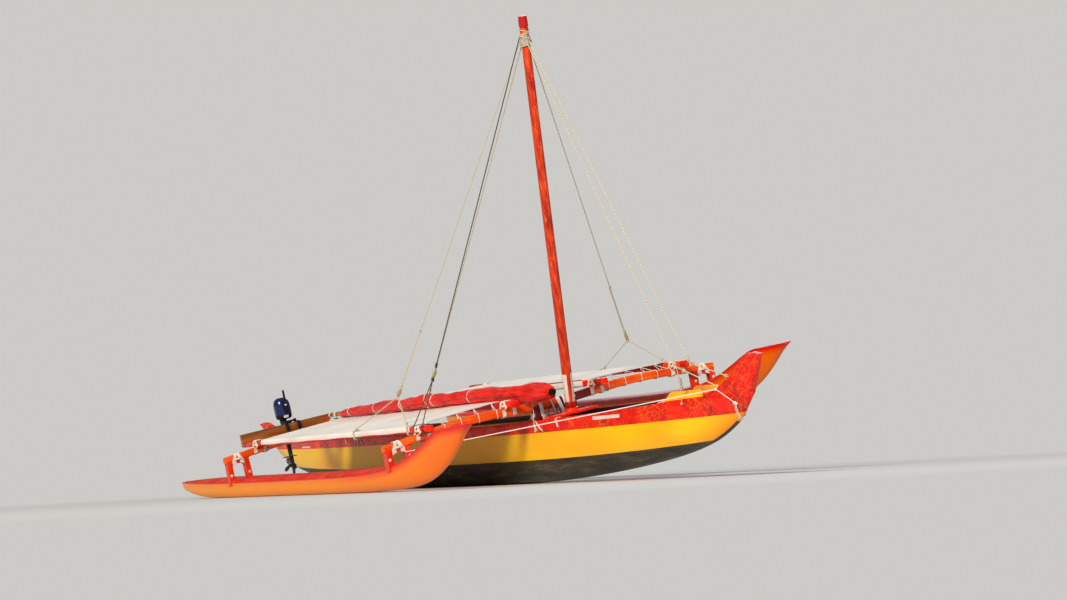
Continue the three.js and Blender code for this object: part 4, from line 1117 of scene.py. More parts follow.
# %% Lacing of the side decks
LACE_RADIUS, LACE_LEAN, EYE_INSET = 0.0042, 0.012, 0.02
BEAM_HALF = BEAM_WIDTH / 2
BEAM_FLAT = 0.6 * BEAM_HALF    # a turn lies flat on the beam as far as here, then bends
BEND_DROP = 0.018


def lacing(side):
    shape = Shape()
    r, cx, eye = LACE_RADIUS, BEAM_X, DECK_REACH - EYE_INSET
    between_rails = [spot for spot in deck_profile() if spot[2] > 0]
    for end in (1, -1):
        for y in TIE_YS:
            top, depth = beam_at(y)
            low = top - depth
            cloth_z = min(between_rails, key=lambda spot: abs(spot[0] - y))[1]
            turn = [(eye, cloth_z + r), (cx - BEAM_FLAT, top + r), (cx + BEAM_FLAT, top + r),
                    (cx + BEAM_HALF + r, top - BEND_DROP), (cx + BEAM_HALF + r, low + BEND_DROP),
                    (cx + BEAM_FLAT, low - r), (cx - BEAM_FLAT, low - r),
                    (cx - BEAM_HALF - r, low + BEND_DROP), (eye, cloth_z - CLOTH_THICK - r)]
            loop(shape, [(end * x, side * (y + LACE_LEAN * (x - cx) / BEAM_HALF), z)
                         for x, z in turn], LACE_RADIUS, bend=0.12)
    return rigged(f"deck_lacing_{side_name(side)}", shape)


for side in (1, -1):
    lacing(side)

# %% Rails lashed to the crossbeams
RAIL_TURNS, TURN_APART = 5, 0.0092
BAND_TURNS, BAND_DROP, BAND_APART = 3, 0.038, 0.009


def rail_lashing(shape, end, y):
    """Turns that meet on top of the rail, spread down its sides and pass under the beam."""
    top, depth = beam_at(y)
    low, rail_top = top - depth, rail_middle(y) + RAIL_HALF
    r, half, cx = CORD_RADIUS, BEAM_HALF, end * BEAM_X
    wide = RAIL_HALF + r + 0.002
    for k in range(RAIL_TURNS):
        shift = TURN_APART * k
        head, spread, foot = 0.01 + shift, half + 0.014 + shift, wide + shift
        points = []
        for front, first in ((1, -1), (-1, 1)):
            for s in (first, -first):
                over = [(cx + front * head, y + s * (wide - 0.012), rail_top + r)]
                down = [(cx + front * (head + 0.006), y + s * wide, rail_top - 0.012),
                        (cx + front * spread, y + s * wide, rail_top - 2 * RAIL_HALF + 0.006),
                        (cx + front * (half + r), y + s * foot, top - 0.022),
                        (cx + front * (half + r), y + s * (foot + 0.006), low + 0.014),
                        (cx + front * (half - 0.016), y + s * (foot + 0.006), low - r)]
                points += down[::-1] + over if s == first else over + down
        loop(shape, points, bend=0.2)
    # A short band round the turns on each side of the rail pulls them together
    for s in (1, -1):
        for k in range(BAND_TURNS):
            z, reach = rail_top - BAND_DROP - BAND_APART * k, 0.04 + 0.006 * k
            out = y + s * (wide + 1.6 * r)
            shape.rope([(cx - reach - 0.01, out - s * 0.008, z), (cx - reach, out, z),
                        (cx + reach, out, z), (cx + reach + 0.01, out - s * 0.008, z)], r, 6)


for side in (1, -1):
    shape = Shape()
    for end in (1, -1):
        for y in (RAIL_IN_Y, RAIL_OUT_Y):
            rail_lashing(shape, end, side * y)
    rigged(f"rail_lashings_{side_name(side)}", shape)

# %% Supports lashed under the crossbeams
SUPPORT_HALF, ARCH_HALF, ARCH_RISE, ARCH_DROP = 0.046, 0.084, 0.034, 0.062
SUPPORT_TURNS, BAND_BELOW = 6, 0.05


def support_lashing(shape, end, side):
    """Turns over the beam and through the arch, spread below so that they form an A."""
    r, cx, half, out = CORD_RADIUS, end * BEAM_X, BEAM_HALF, SUPPORT_HALF + CORD_RADIUS
    middle_top, depth = beam_at(FLOAT_Y)
    low = middle_top - depth
    for s in (1, -1):
        for k in range(SUPPORT_TURNS):
            foot = s * (0.03 + 0.0088 * k)
            head = s * (0.006 + 0.005 * k)
            head_y, foot_y = FLOAT_Y + head, FLOAT_Y + foot
            top = beam_at(head_y)[0]
            arch = low - ARCH_DROP + ARCH_RISE * sqrt(max(1 - (foot / ARCH_HALF) ** 2, 0.02))
            turn = [(-BEAM_FLAT, head_y, top + r), (BEAM_FLAT, head_y, top + r),
                    (half + r, head_y + foot * 0.1, top - 0.016), (out, foot_y, low - 0.002),
                    (out, foot_y, arch - r), (-out, foot_y, arch - r),
                    (-out, foot_y, low - 0.002), (-half - r, head_y + foot * 0.1, top - 0.016)]
            loop(shape, [(cx + x, side * y, z) for x, y, z in turn], bend=0.15)
    for face in (1, -1):
        for k in range(BAND_TURNS):
            z = middle_top - BAND_BELOW - BAND_APART * k
            out = cx + face * (SUPPORT_HALF + 3.2 * r)
            reach = 0.036 + 0.005 * k
            shape.rope([(out - face * 0.012, side * (FLOAT_Y - reach - 0.01), z),
                        (out, side * (FLOAT_Y - reach), z), (out, side * (FLOAT_Y + reach), z),
                        (out - face * 0.012, side * (FLOAT_Y + reach + 0.01), z)], r, 6)


for side in (1, -1):
    shape = Shape()
    for end in (1, -1):
        support_lashing(shape, end, side)
    rigged(f"support_lashings_{side_name(side)}", shape)

# %% Crossbeams lashed to the hull
LASH_HOLE_DROP, LASH_SHIFT, HULL_TURNS = 0.105, 0.06, 5
HOLE_FROM, HOLE_APART, OVER_FROM, OVER_APART = 0.04, 0.0115, 0.004, 0.0085
BEAM_TURN_Y, CHOCK_EDGE_Y = 0.205, 0.297


def hull_lashing(shape, end, side):
    """Turns that leave the hull's side, pass over the rail and the chock and cross on the beam."""
    r, cx = CORD_RADIUS + 0.0006, end * BEAM_X
    for k in range(HULL_TURNS):
        for s in (1, -1):
            hole_x = cx + end * LASH_SHIFT + s * (HOLE_FROM + HOLE_APART * k)
            over_x = cx - s * (OVER_FROM + OVER_APART * k)
            beam, _, sheer = hull_at(hole_x)
            hole_z = sheer - LASH_HOLE_DROP - 0.006 * k
            skin = half_breadth(hole_x, hole_z) + r
            y_top = BEAM_TURN_Y + 0.01 * k
            top = beam_at(y_top)[0]
            path = [(hole_x, skin - 0.01, hole_z), (hole_x, skin + 0.001, hole_z + 0.012),
                    ((hole_x + over_x) / 2, beam + r + 0.002, sheer - 0.004),
                    (over_x, CHOCK_EDGE_Y, sheer + 0.036),
                    (over_x, CHOCK_EDGE_Y - 0.014, sheer + 0.046),
                    (over_x, y_top + 0.03, top - 0.01), (over_x, y_top, top + r),
                    (over_x - s * 0.01, y_top - 0.06, beam_at(0.14)[0] + r)]
            shape.rope([(x, side * y, z) for x, y, z in path], r, 6)


print("Turns on each side of a crossbeam:", 2 * HULL_TURNS)

# %% Bands round a crossbeam and its chock
CHOCK_HALF, PAD_HALF_X, PAD_TOP, PAD_YS, CHOCK_THICK = 0.085, 0.06, 0.925, (0.153, 0.277), 0.034
# place across the boat, turns, lean
BEAM_BANDS = ((-0.205, 5, 0.0), (-0.045, 2, 0.01), (0.03, 5, 0.02), (0.115, 3, 0.0))


def beam_band(shape, end, y, turns, lean):
    """Turns round the beam, the pad where there is one, and the chock's board."""
    r, cx, half = CORD_RADIUS, end * BEAM_X, BEAM_HALF
    floor = max(hull_at(cx - CHOCK_HALF)[2], hull_at(cx + CHOCK_HALF)[2])
    for k in range(turns):
        at = y + 0.0095 * k
        top = beam_at(at)[0]
        front = [(BEAM_FLAT, 0, top + r), (half + r, 0.2 * lean, top - 0.016)]
        if PAD_YS[0] < abs(at) < PAD_YS[1]:
            front += [(PAD_HALF_X + r, 0.3 * lean, PAD_TOP + 0.002),
                      (PAD_HALF_X + r, 0.8 * lean, floor + CHOCK_THICK + 0.012)]
        front += [(CHOCK_HALF + r + 0.001, lean, floor + CHOCK_THICK + 0.002),
                  (CHOCK_HALF + r + 0.001, lean, floor - r - 0.001)]
        turn = front + [(-x, across, z) for x, across, z in front[::-1]]
        loop(shape, [(cx + x, at + across, z) for x, across, z in turn], bend=0.1)


# %% Cord round the starboard inner rail, and both ends put together
GRAB_X, GRAB_TURNS, GRAB_APART, GRAB_DROP, CORD_GAP = 2.9, 3, 0.011, 0.095, 0.006


def rail_cord(shape, end):
    """Spare turns through the hull's side, near each crossbeam."""
    for k in range(GRAB_TURNS):
        x = end * GRAB_X + GRAB_APART * k
        beam, _, sheer = hull_at(x)
        low = sheer - GRAB_DROP
        skin, into = half_breadth(x, low), half_breadth(x, low, SHELL) - RAIL_WIDTH - CORD_GAP
        loop(shape, [(x, -beam - CORD_GAP, sheer - 0.002), (x, -skin - CORD_GAP, low),
                     (x, -into, low), (x, -into - 0.002, sheer + 0.004),
                     (x, 0.01 - beam, sheer + 0.01)], bend=0.15)


for end, name in ((1, "front"), (-1, "rear")):
    shape = Shape()
    for side in (1, -1):
        hull_lashing(shape, end, side)
    for y, turns, lean in BEAM_BANDS:
        beam_band(shape, end, y, turns, lean)
    rail_cord(shape, end)
    rigged(f"hull_lashings_{name}", shape)

# %% [markdown]
# ## The mast
#
# The mast is a hollow wooden spar, tapered and raked forward, painted orange-red with darker
# streaks where the brush ran. Two strips of white tape protect it beside the sail's foot. A plain
# cone would show facets, so the spar is one fine round section, and the tape is a thin skin just
# outside the paint.

# %% The spar's skin
MAST_FOOT, MAST_HEAD = Vector((2.79, 0, 0.806)), Vector((3.62, 0, 5.13))
FOOT_RADIUS, HEAD_RADIUS = 0.057, 0.046
SPAR_LOW, SPAR_TOP = 0.9146, 5.0118    # between the sleeve and the cap
MAST_AXIS = (MAST_HEAD - MAST_FOOT).normalized()
MAST_SIDE = Vector((0, 1, 0))
MAST_FORE = MAST_SIDE.cross(MAST_AXIS)
MAST_LENGTH = (MAST_HEAD - MAST_FOOT).length


def on_mast(z, angle=0.0, lift=0.0):
    """Point on the spar's skin at a height; angle 0 looks forward, +90 degrees to port."""
    share = (z - MAST_FOOT.z) / (MAST_HEAD.z - MAST_FOOT.z)
    radius = FOOT_RADIUS + (HEAD_RADIUS - FOOT_RADIUS) * share + lift
    turn = radians(angle)
    outward = MAST_FORE * cos(turn) + MAST_SIDE * sin(turn)
    return MAST_FOOT + (MAST_HEAD - MAST_FOOT) * share + outward * radius


def mast_ring(z, lift=0.0, sides=48):
    return [on_mast(z, 360 * i / sides, lift) for i in range(sides)]


print("Mast length, metres:", round(MAST_LENGTH, 3))

# %% Finishes of the mast
# Millimetres along X, Y and Z
SPAR_STREAK, SPAR_FLECK, WEAR_CLOUD = (38.46, 38.46, 1111), (16.67, 16.67, 111.1), 83.33


def spar_enamel():
    # Real thing: boat enamel brushed down a wooden spar in two coats. It gives the eye long
    # darker runs, a few orange specks where the coat is thin, and a medium gloss.
    material, tree, place = new_finish("brushed spar enamel")
    long = add(tree, "Mapping", {"Vector": place, "Scale": lumps(*SPAR_STREAK)})
    streaks = add(tree, "TexNoise", {"Vector": long, "Scale": 1.0, "Detail": 4.0})
    base = add(tree, "ValToRGB", {"Fac": streaks},
               stops=[(0.32, "#941A02"), (0.46, "#C43204"), (0.60, "#DC4A08"), (0.74, "#F07434")])
    short = add(tree, "Mapping", {"Vector": place, "Scale": lumps(*SPAR_FLECK)})
    flecks = add(tree, "TexNoise", {"Vector": short, "Scale": 1.0, "Detail": 3.0})
    share = add(tree, "MapRange", {"Value": flecks, "From Min": 0.6, "From Max": 0.68, "To Max": 0.5})
    colour = add(tree, "Mix", {0: share, 6: base, 7: tone("#F08A3E")}, 2, data_type="RGBA")
    ridges = add(tree, "Bump", {"Height": streaks, "Distance": 0.0005, "Strength": 1.0})
    return close_finish(material, add(tree, "BsdfPrincipled", {
        "Base Color": colour, "Roughness": 0.34, "IOR": 1.5,
        "Coat Weight": 0.3, "Coat Roughness": 0.15, "Normal": ridges}))


def plain_finish(name, code, rough, **values):
    """A finish whose surface is even: one colour with soft clouds of wear."""
    material, tree, place = new_finish(name)
    cloud = add(tree, "TexNoise", {"Vector": place, "Scale": lumps(WEAR_CLOUD), "Detail": 4.0})
    worn = add(tree, "MapRange", {"Value": cloud, "To Min": rough - 0.08, "To Max": rough + 0.08})
    shade = add(tree, "MapRange", {"Value": cloud, "From Min": 0.3, "From Max": 0.7,
                                   "To Min": 0.86, "To Max": 1.0})
    colour = add(tree, "VectorMath", {0: tone(code)[:3], "Scale": shade}, operation="SCALE")
    return close_finish(material, add(tree, "BsdfPrincipled", {"Base Color": colour, "Roughness": worn,
                                                    **values}))


SPAR_ENAMEL = spar_enamel()
# Real thing: adhesive vinyl tape and film. It gives the eye a flat, slightly shiny white.
WHITE_VINYL = plain_finish("white adhesive vinyl", "#E4E2DC", 0.38, IOR=1.5)
# Real thing: a turned block dipped in red enamel. It gives the eye a clean, glossy red.
DIPPED_RED = plain_finish("dipped red enamel", "#BC1A0C", 0.28, IOR=1.5, **{"Coat Weight": 0.2})

# %% Mast, tape, sleeve and cap
SPAR_EASE, TAPE_THICK, TAPE_SUNK = 0.004, 0.0006, 0.0002
# from, to, direction in degrees, half width in degrees at the foot and at the head
TAPE_STRIPS = ((0.918, 1.225, -77, 39, 39), (0.918, 1.238, 38, 34, 26))


def mast():
    shape = Shape()
    heights = [SPAR_LOW, SPAR_LOW + SPAR_EASE] + places(0.96, 4.96, 0.2)
    heights += [SPAR_TOP - SPAR_EASE, SPAR_TOP]
    lifts = [-SPAR_EASE] + [0.0] * (len(heights) - 2) + [-SPAR_EASE]
    shape.skin([mast_ring(z, lift) for z, lift in zip(heights, lifts)])
    return make("mast_spar", shape, [SPAR_ENAMEL], replaces=["mast"], smooth=30)


def tape(shape, low, high, middle, low_half, high_half):
    """A strip along the spar; its half width in degrees changes from foot to head."""
    rows = []
    for z in places(low, high, 0.02):
        half = low_half + (high_half - low_half) * (z - low) / (high - low)
        angles = [middle + half * (i / 5 - 1) for i in range(11)]
        rows.append([on_mast(z, a, TAPE_THICK) for a in angles]
                    + [on_mast(z, a, TAPE_SUNK) for a in angles[::-1]])
    shape.skin(rows)


mast()
strips = Shape()
for strip in TAPE_STRIPS:
    tape(strips, *strip)
make("mast_tape", strips, [WHITE_VINYL])
eased("mast_sleeve", 0.006, [DIPPED_RED], segments=3)
eased("mast_cap", 0.008, [DIPPED_RED], segments=3)

# %% [markdown]
# ## Lashing at the masthead
#
# The stays are tied to turns of tan rope round the mast, 120 mm tall, with a few crossed turns
# above them. Real turns, side by side, give the beaded outline that a plain sleeve lacks.

# %% Turns of rope at the masthead
HEAD_LASH_Z, HEAD_LASH_HALF, HEAD_ROPE = 4.862, 0.058, 0.0058
# height, tilt, rope radii off the spar
CROSSED_TURNS = ((HEAD_LASH_Z - 0.03, 0.02, 3), (HEAD_LASH_Z + 0.028, -0.03, 3),
                 (4.957, 0.02, 1), (4.966, -0.018, 1), (4.94, 0.012, 1))


def coil(place_at, low, high, radius, steps=18):
    """Close turns from low to high; place_at gives a point for a height and an angle."""
    turns = int((high - low) / (2 * radius))
    count = turns * steps
    return [place_at(low + (high - low) * i / count, 360 * i / steps) for i in range(count + 1)]


def head_lashing():
    shape = Shape()
    low, high = HEAD_LASH_Z - HEAD_LASH_HALF, HEAD_LASH_Z + HEAD_LASH_HALF
    path = coil(lambda z, angle: on_mast(z, angle, HEAD_ROPE + 0.0006), low, high, HEAD_ROPE)
    shape.rope(path, HEAD_ROPE, 8)
    for z, tilt, lift in CROSSED_TURNS:
        ring = [on_mast(z + tilt * sin(radians(a)), a, lift * HEAD_ROPE) for a in range(0, 361, 20)]
        shape.rope(ring, HEAD_ROPE, 8)
    return rigged("masthead_lashing", shape, [TAN_ROPE], ["mast_lashing"])


head_lashing()

# %% [markdown]
# ## Furled sail
#
# The red sail is gathered along the boom and tied round with light cord. Furled cloth shows as
# lobes: folds that run the whole length, pinched where a tie goes round and open at the front.
# A simulated roll would not keep the shape in the photograph, so each cross-section is drawn:
# a lobed outline whose folds turn slowly along the sail and shrink at each tie.

# %% Sailcloth
# Millimetres. A crinkle runs along the sail, and a cloud is a patch of paler cloth
CRINKLE_LONG, CRINKLE_WIDE, CLOUD_SIZE = 333.3, 29.41, 142.9


def sailcloth():
    # Real thing: red woven polyester sailcloth, calendered and then crumpled by use. It gives
    # the eye a deep matt red with fine crinkles and paler patches; the crinkles' ridges are painted paler
    # and their hollows darker, as painted highlight and painted shade.
    material, tree, place = new_finish("furled polyester sailcloth")
    long = add(tree, "Mapping", {"Vector": place,
                                 "Scale": lumps(CRINKLE_LONG, CRINKLE_WIDE, CRINKLE_WIDE)})
    crinkles = add(tree, "TexNoise", {"Vector": long, "Scale": 1.0, "Detail": 6.0, "Roughness": 0.6})
    cloud = add(tree, "TexNoise", {"Vector": place, "Scale": lumps(CLOUD_SIZE), "Detail": 3.0})
    # The crinkles set both the colour and the bump: their ridges get a painted highlight and their
    # hollows painted shade, while the clouds are real paler patches.
    both = add(tree, "Mix", {0: 0.45, 2: crinkles, 3: cloud})
    colour = add(tree, "ValToRGB", {"Fac": both},
                 stops=[(0.34, "#A40E0A"), (0.50, "#D81C10"), (0.68, "#EC3A2C")])
    folds = add(tree, "Bump", {"Height": crinkles, "Distance": 0.006, "Strength": 0.7})
    return close_finish(material, add(tree, "BsdfPrincipled", {
        "Base Color": colour, "Roughness": 0.72, "IOR": 1.46,
        "Sheen Weight": 0.3, "Sheen Roughness": 0.4, "Normal": folds}))


SAILCLOTH = sailcloth()

# %% Bundle of folds
# x, y, z, radius
BUNDLE = [(-2.05, -0.625, 1.12, 0.042), (-1.7, -0.622, 1.137, 0.062),
          (-0.9, -0.61, 1.147, 0.078), (0.3, -0.58, 1.157, 0.09),
          (1.3, -0.5, 1.15, 0.096), (2.0, -0.41, 1.124, 0.108),
          (2.5, -0.345, 1.098, 0.122), (2.8, -0.315, 1.08, 0.116),
          (2.96, -0.3, 1.072, 0.084)]
BUNDLE_WIDE, BUNDLE_TALL = 1.06, 0.94
SAIL_TIES = [-1.72, -0.95, -0.2, 0.62, 1.45]
PINCH_HALF = 0.16    # a tie pinches the folds over this much of the sail, on each side of it
CLEW_FROM, CLEW_OVER = 2.1, 0.7    # the loose bunch at the mast begins here
BUNDLE_SIDES = 64


def bundle_outline(x, lift=0.0):
    """Lobed outline of the bundle at a place along it, as a list of points."""
    y, z, radius = (faired(BUNDLE, x, column) for column in (1, 2, 3))
    gap = min(abs(x - tie) for tie in SAIL_TIES)
    open_folds = min(gap / PINCH_HALF, 1.0) ** 0.7
    forward = share_of(x, CLEW_FROM, CLEW_OVER)
    points = []
    for i in range(BUNDLE_SIDES):
        angle = 2 * pi * i / BUNDLE_SIDES
        swirl = 0.5 * sin(1.1 * x) + 0.25 * sin(3.7 * x)
        folds = (0.075 * sin(3 * angle + swirl) + 0.065 * sin(7 * angle - 1.7 * swirl)
                 + 0.035 * sin(12 * angle + 2.3 * x + swirl)
                 + 0.03 * sin(5 * angle + 4.1 * x) * sin(9 * x))
        notch = 0.5 * forward * exp(-((angle - 2.75 - 0.5 * (x - 2.5)) / 0.26) ** 2)
        upper = max(sin(angle), 0.0)
        heap = (0.15 * upper * (1 - forward) * cos(5.46 * (x - 0.45))
                + 0.07 * sin(9.1 * x + 2 * angle) + 0.05 * sin(17 * x - 3 * angle)
                + 0.1 * forward * sin(3 * angle + 6 * x))
        reach = radius * (0.86 + (folds + heap) * (0.35 + 0.65 * open_folds) - notch
                          - 0.05 * (1 - open_folds)) + lift
        points.append(Vector((x, y + BUNDLE_WIDE * reach * cos(angle),
                              z + BUNDLE_TALL * reach * sin(angle))))
    return points


def furled_sail():
    shape, rings = Shape(), []
    first, last = BUNDLE[0][0], BUNDLE[-1][0]
    shrink = {first: 0.72, last - 0.006: 0.93, last: 0.72}
    for x in [first] + places(first + 0.012, last - 0.02, 0.045) + [last - 0.006, last]:
        ring = bundle_outline(x)
        middle = sum(ring, Vector()) / len(ring)
        rings.append([middle + (point - middle) * shrink.get(x, 1.0) for point in ring])
    shape.skin(rings)
    return make("furled_sail", shape, [SAILCLOTH], replaces=["sail_bundle"], smooth=70)


furled_sail()

# %% Ties round the sail
TIE_RADIUS, TIE_APART, TIE_KNOT = 0.0028, 0.01, 0.008


def sail_ties():
    """Two turns of thin cord at each tie, with a knot on the upper side."""
    shape = Shape()
    for tie in SAIL_TIES:
        for k in range(2):
            ring = bundle_outline(tie + TIE_APART * k, 0.0035)[::4]
            shape.rope(ring + [ring[0]], TIE_RADIUS, 6)
        spot = bundle_outline(tie + TIE_APART / 2, 0.01)[int(BUNDLE_SIDES * 0.3)]
        shape.rope([spot + Vector((-0.012, 0, 0)), spot, spot + Vector((0.014, 0.004, 0.004))],
                   [0.003, TIE_KNOT, 0.003], 8)
    return rigged("sail_ties", shape)


sail_ties()

# %% [markdown]
# ## Stays and their knots
#
# The mast carries six taut lines of laid rope: one on each side that forks to the outer rail, a
# tackle to starboard, two to the bow and one that lifts the boom. The CAD model has them as plain
# bars, so each is swept again along the same line with the twist of its strands, and gets what
# really joins it: turns of rope, small wooden blocks and a second part of the line.

# %% Knots and blocks
STAY_ALONG, STAY_RADIUS, LASH_THICK, GAP = 4.13, 0.006, 0.012, 0.0003
THIN_ROPE, KNOT_ROPE, THICK_ROPE = 0.0045, 0.005, 0.006    # radii
# Real thing: a turned hardwood block that sun and salt have bleached. It gives the eye a pale,
# dull straw grey.
BLEACHED_WOOD = plain_finish("bleached hardwood block", "#B3A88A", 0.6, IOR=1.5)


def stay_top(rise, toward, port=0.0):
    """Where a stay leaves the masthead lashing, on the side that faces its lower end."""
    height = STAY_ALONG + rise
    centre = MAST_FOOT.lerp(MAST_HEAD, height / MAST_LENGTH)
    run = (Vector(toward) - centre).normalized()
    outward = (run - MAST_AXIS * run.dot(MAST_AXIS)).normalized()
    share = (height - HEAD_LASH_HALF) / MAST_LENGTH
    radius = FOOT_RADIUS + (HEAD_RADIUS - FOOT_RADIUS) * share
    reach = radius + LASH_THICK + 2 * GAP + STAY_RADIUS * abs(run.dot(MAST_AXIS))
    return centre + outward * reach + Vector((0, port, 0))


def line(shape, start, end, radius=STAY_RADIUS):
    """A straight length of rope."""
    shape.rope([start, start.lerp(end, 0.5), end], radius, 8)


def knot(shape, place, run, turns=3, rope=KNOT_ROPE, radius=STAY_RADIUS, finish=0):
    """Turns of rope round a line or a spar, side by side along its run."""
    run = Vector(run).normalized()
    side = run.cross(Vector((0.3, 0.2, 0.93))).normalized()
    other, steps = run.cross(side), 12
    path = []
    for i in range(turns * steps + 1):
        angle = 2 * pi * i / steps
        outward = side * cos(angle) + other * sin(angle)
        path.append(Vector(place) + run * (i / steps - turns / 2) * 2 * rope + outward * (radius + rope))
    shape.rope(path, rope, 6, finish)


def block(shape, place, run, length=0.1, wide=0.026, finish=1):
    """An oval block whose long side follows the line."""
    run, count = Vector(run).normalized(), 9
    turns = [2 * i / (count - 1) - 1 for i in range(count)]
    shape.rope([Vector(place) + run * length / 2 * t for t in turns],
               [wide * sqrt(max(1 - t * t, 0.03)) for t in turns], 16, finish, flat=0.62)


def rail_turns(shape, x, y, turns=3):
    """Turns round a side rail and the cloth on it."""
    half = RAIL_HALF + 0.0055 + KNOT_ROPE
    for k in range(turns):
        at = x + 2.1 * KNOT_ROPE * (k - (turns - 1) / 2)
        loop(shape, [(at, y + a * half, rail_middle(abs(y)) + b * half)
                     for a, b in ((1, -1), (1, 1), (-1, 1), (-1, -1))], KNOT_ROPE, bend=0.06)


def rail_grip(x, side):
    """Upper outboard corner of the turns, where a line leaves the rail."""
    return Vector((x, side * (RAIL_OUT_Y + 0.03), rail_middle(RAIL_OUT_Y) + RAIL_HALF + 0.012))


# %% Side stays
FORK, FORK_FEET = Vector((1.7, 1.53, 1.36)), (2.16, 0.7)
# The line's second part starts, is tied and runs free at these shares of the way down
SECOND_STARTS, SECOND_TIED, SECOND_FREE = 0.8, 0.81, 0.82
SECOND_ASIDE, SECOND_RADIUS = Vector((-0.016, 0, 0)), 0.0048
# Metres above the fork or a foot
SECOND_BENDS, SECOND_ENDS, FORK_KNOT, FORK_BLOCK, FOOT_KNOT = 0.17, 0.1, 0.125, 0.055, 0.055


def shroud(side):
    node = f"shroud_{side_name(side)}"
    fork = Vector((FORK.x, side * FORK.y, FORK.z))
    top, shape = stay_top(0, fork), Shape()
    run = (top - fork).normalized()
    line(shape, top, fork)
    shape.rope([top.lerp(fork, SECOND_STARTS), top.lerp(fork, SECOND_FREE) + SECOND_ASIDE,
                fork + run * SECOND_BENDS + SECOND_ASIDE, fork + run * SECOND_ENDS],
               SECOND_RADIUS, 8)
    knot(shape, top.lerp(fork, SECOND_TIED), run)
    block(shape, fork + run * FORK_BLOCK, run)
    knot(shape, fork + run * FORK_KNOT, run, 4)
    knot(shape, fork - run * 0.004, run, radius=0.01)
    for foot in FORK_FEET:
        grip = rail_grip(foot, side)
        leg = (fork - grip).normalized()
        line(shape, fork, grip)
        knot(shape, grip + leg * FOOT_KNOT, leg, rope=THIN_ROPE)
        rail_turns(shape, foot, side * RAIL_OUT_Y)
    return rigged(node + "_laid", shape, [TAN_ROPE, BLEACHED_WOOD], [node])


for side in (1, -1):
    shroud(side)

# %% Starboard tackle and boom lift
TACKLE, TACKLE_FEET = Vector((2.56, -1.47, 1.5)), (2.54, 2.33)
TACKLE_BLOCK, TACKLE_KNOT, TACKLE_LEG = 0.07, 0.16, 0.0054
LIFT_FOOT_X, LIFT_KNOT = 0.5, 0.05


def side_stay():
    shape, top = Shape(), stay_top(0.04, TACKLE)
    run = (top - TACKLE).normalized()
    line(shape, top, TACKLE)
    knot(shape, TACKLE + run * TACKLE_KNOT, run, 5)
    block(shape, TACKLE + run * TACKLE_BLOCK, run, 0.11, 0.028)
    knot(shape, TACKLE, run, 3, THICK_ROPE, 0.008)
    for foot in TACKLE_FEET:
        line(shape, TACKLE, rail_grip(foot, -1), TACKLE_LEG)
        rail_turns(shape, foot, -RAIL_OUT_Y, 2)
    return rigged("side_stay_laid", shape, [DARK_ROPE, BLEACHED_WOOD], ["side_stay_starboard"])


def topping_lift():
    y, z, radius = (faired(BUNDLE, LIFT_FOOT_X, column) for column in (1, 2, 3))
    foot = Vector((LIFT_FOOT_X, y, z + radius * BUNDLE_TALL + 0.004))
    shape, top = Shape(), stay_top(-0.038, Vector((LIFT_FOOT_X, y, z + 0.03)))
    run = (top - foot).normalized()
    line(shape, top, foot)
    knot(shape, foot + run * LIFT_KNOT, run, 4, THIN_ROPE)
    for slide in (-0.006, 0.006):
        ring = bundle_outline(LIFT_FOOT_X + slide, 0.006)[::3]
        shape.rope(ring + [ring[0]], KNOT_ROPE, 6)
    return rigged("topping_lift_laid", shape, [TAN_ROPE], ["topping_lift"])


side_stay()
topping_lift()

# %% Bow lines and the downhaul
# node, shift to port at the masthead, knot, end on the end piece
BOW_LINES = [("forestay_side", -0.018, (5.54, -0.215, 1.19), (6.04, -0.044, 0.9)),
             ("forestay_bow", 0.014, (5.6, -0.084, 1.205), (6.22, -0.009, 0.985))]
KNOT_UP, BLOCK_DOWN, KNOT_DOWN, END_KNOT = 0.04, 0.05, 0.11, 0.1    # metres along the line
HAUL_BLOCK, HAUL_KNOT, CLEAT_X = Vector((0.045, -0.012, -0.15)), Vector((0, 0, -0.06)), 5.4


def downhaul(shape, tied):
    """The tackle that pulls the side line down to the foredeck's edge."""
    hauled, (beam, _, sheer) = tied + HAUL_BLOCK, hull_at(CLEAT_X)
    cleat = Vector((CLEAT_X, -(beam + 0.01), sheer - 0.03))
    shape.rope([tied, hauled, cleat], SECOND_RADIUS, 8)
    block(shape, hauled, tied - hauled, 0.085, 0.022)
    knot(shape, hauled + HAUL_KNOT, cleat - hauled)
    knot(shape, cleat, cleat - hauled, 2, THICK_ROPE, 0.004)


for node, port, tied, end in BOW_LINES:
    shape, tied, end = Shape(), Vector(tied), Vector(end)
    top = stay_top(0, tied, port)
    run, onward = (top - tied).normalized(), (tied - end).normalized()
    line(shape, top, tied)
    line(shape, tied, end)
    knot(shape, tied + run * KNOT_UP, run, 4, THICK_ROPE)
    block(shape, tied - onward * BLOCK_DOWN, onward, 0.08, 0.02)
    knot(shape, tied - onward * KNOT_DOWN, onward, 3, THICK_ROPE)
    if port < 0:
        downhaul(shape, tied)
    else:
        knot(shape, end + onward * END_KNOT, onward, 3, THICK_ROPE)
    rigged(node + "_laid", shape, [TAN_ROPE, BLEACHED_WOOD], [node])

# %% Bridle from the float to the stem
BRIDLE_END, BRIDLE_BEND = Vector((2.462, -1.93, 0.8)), Vector((6.0, -0.094, 0.905))
STEM_KNOT, BRIDLE_KNOTS = Vector((6.27, -0.072, 0.745)), (0.105, 0.135)
STEM_LOOP_XS, STEM_LOOP_ROPE, STEM_LOOP_GAP = (6.215, 6.237), 0.0055, 0.009


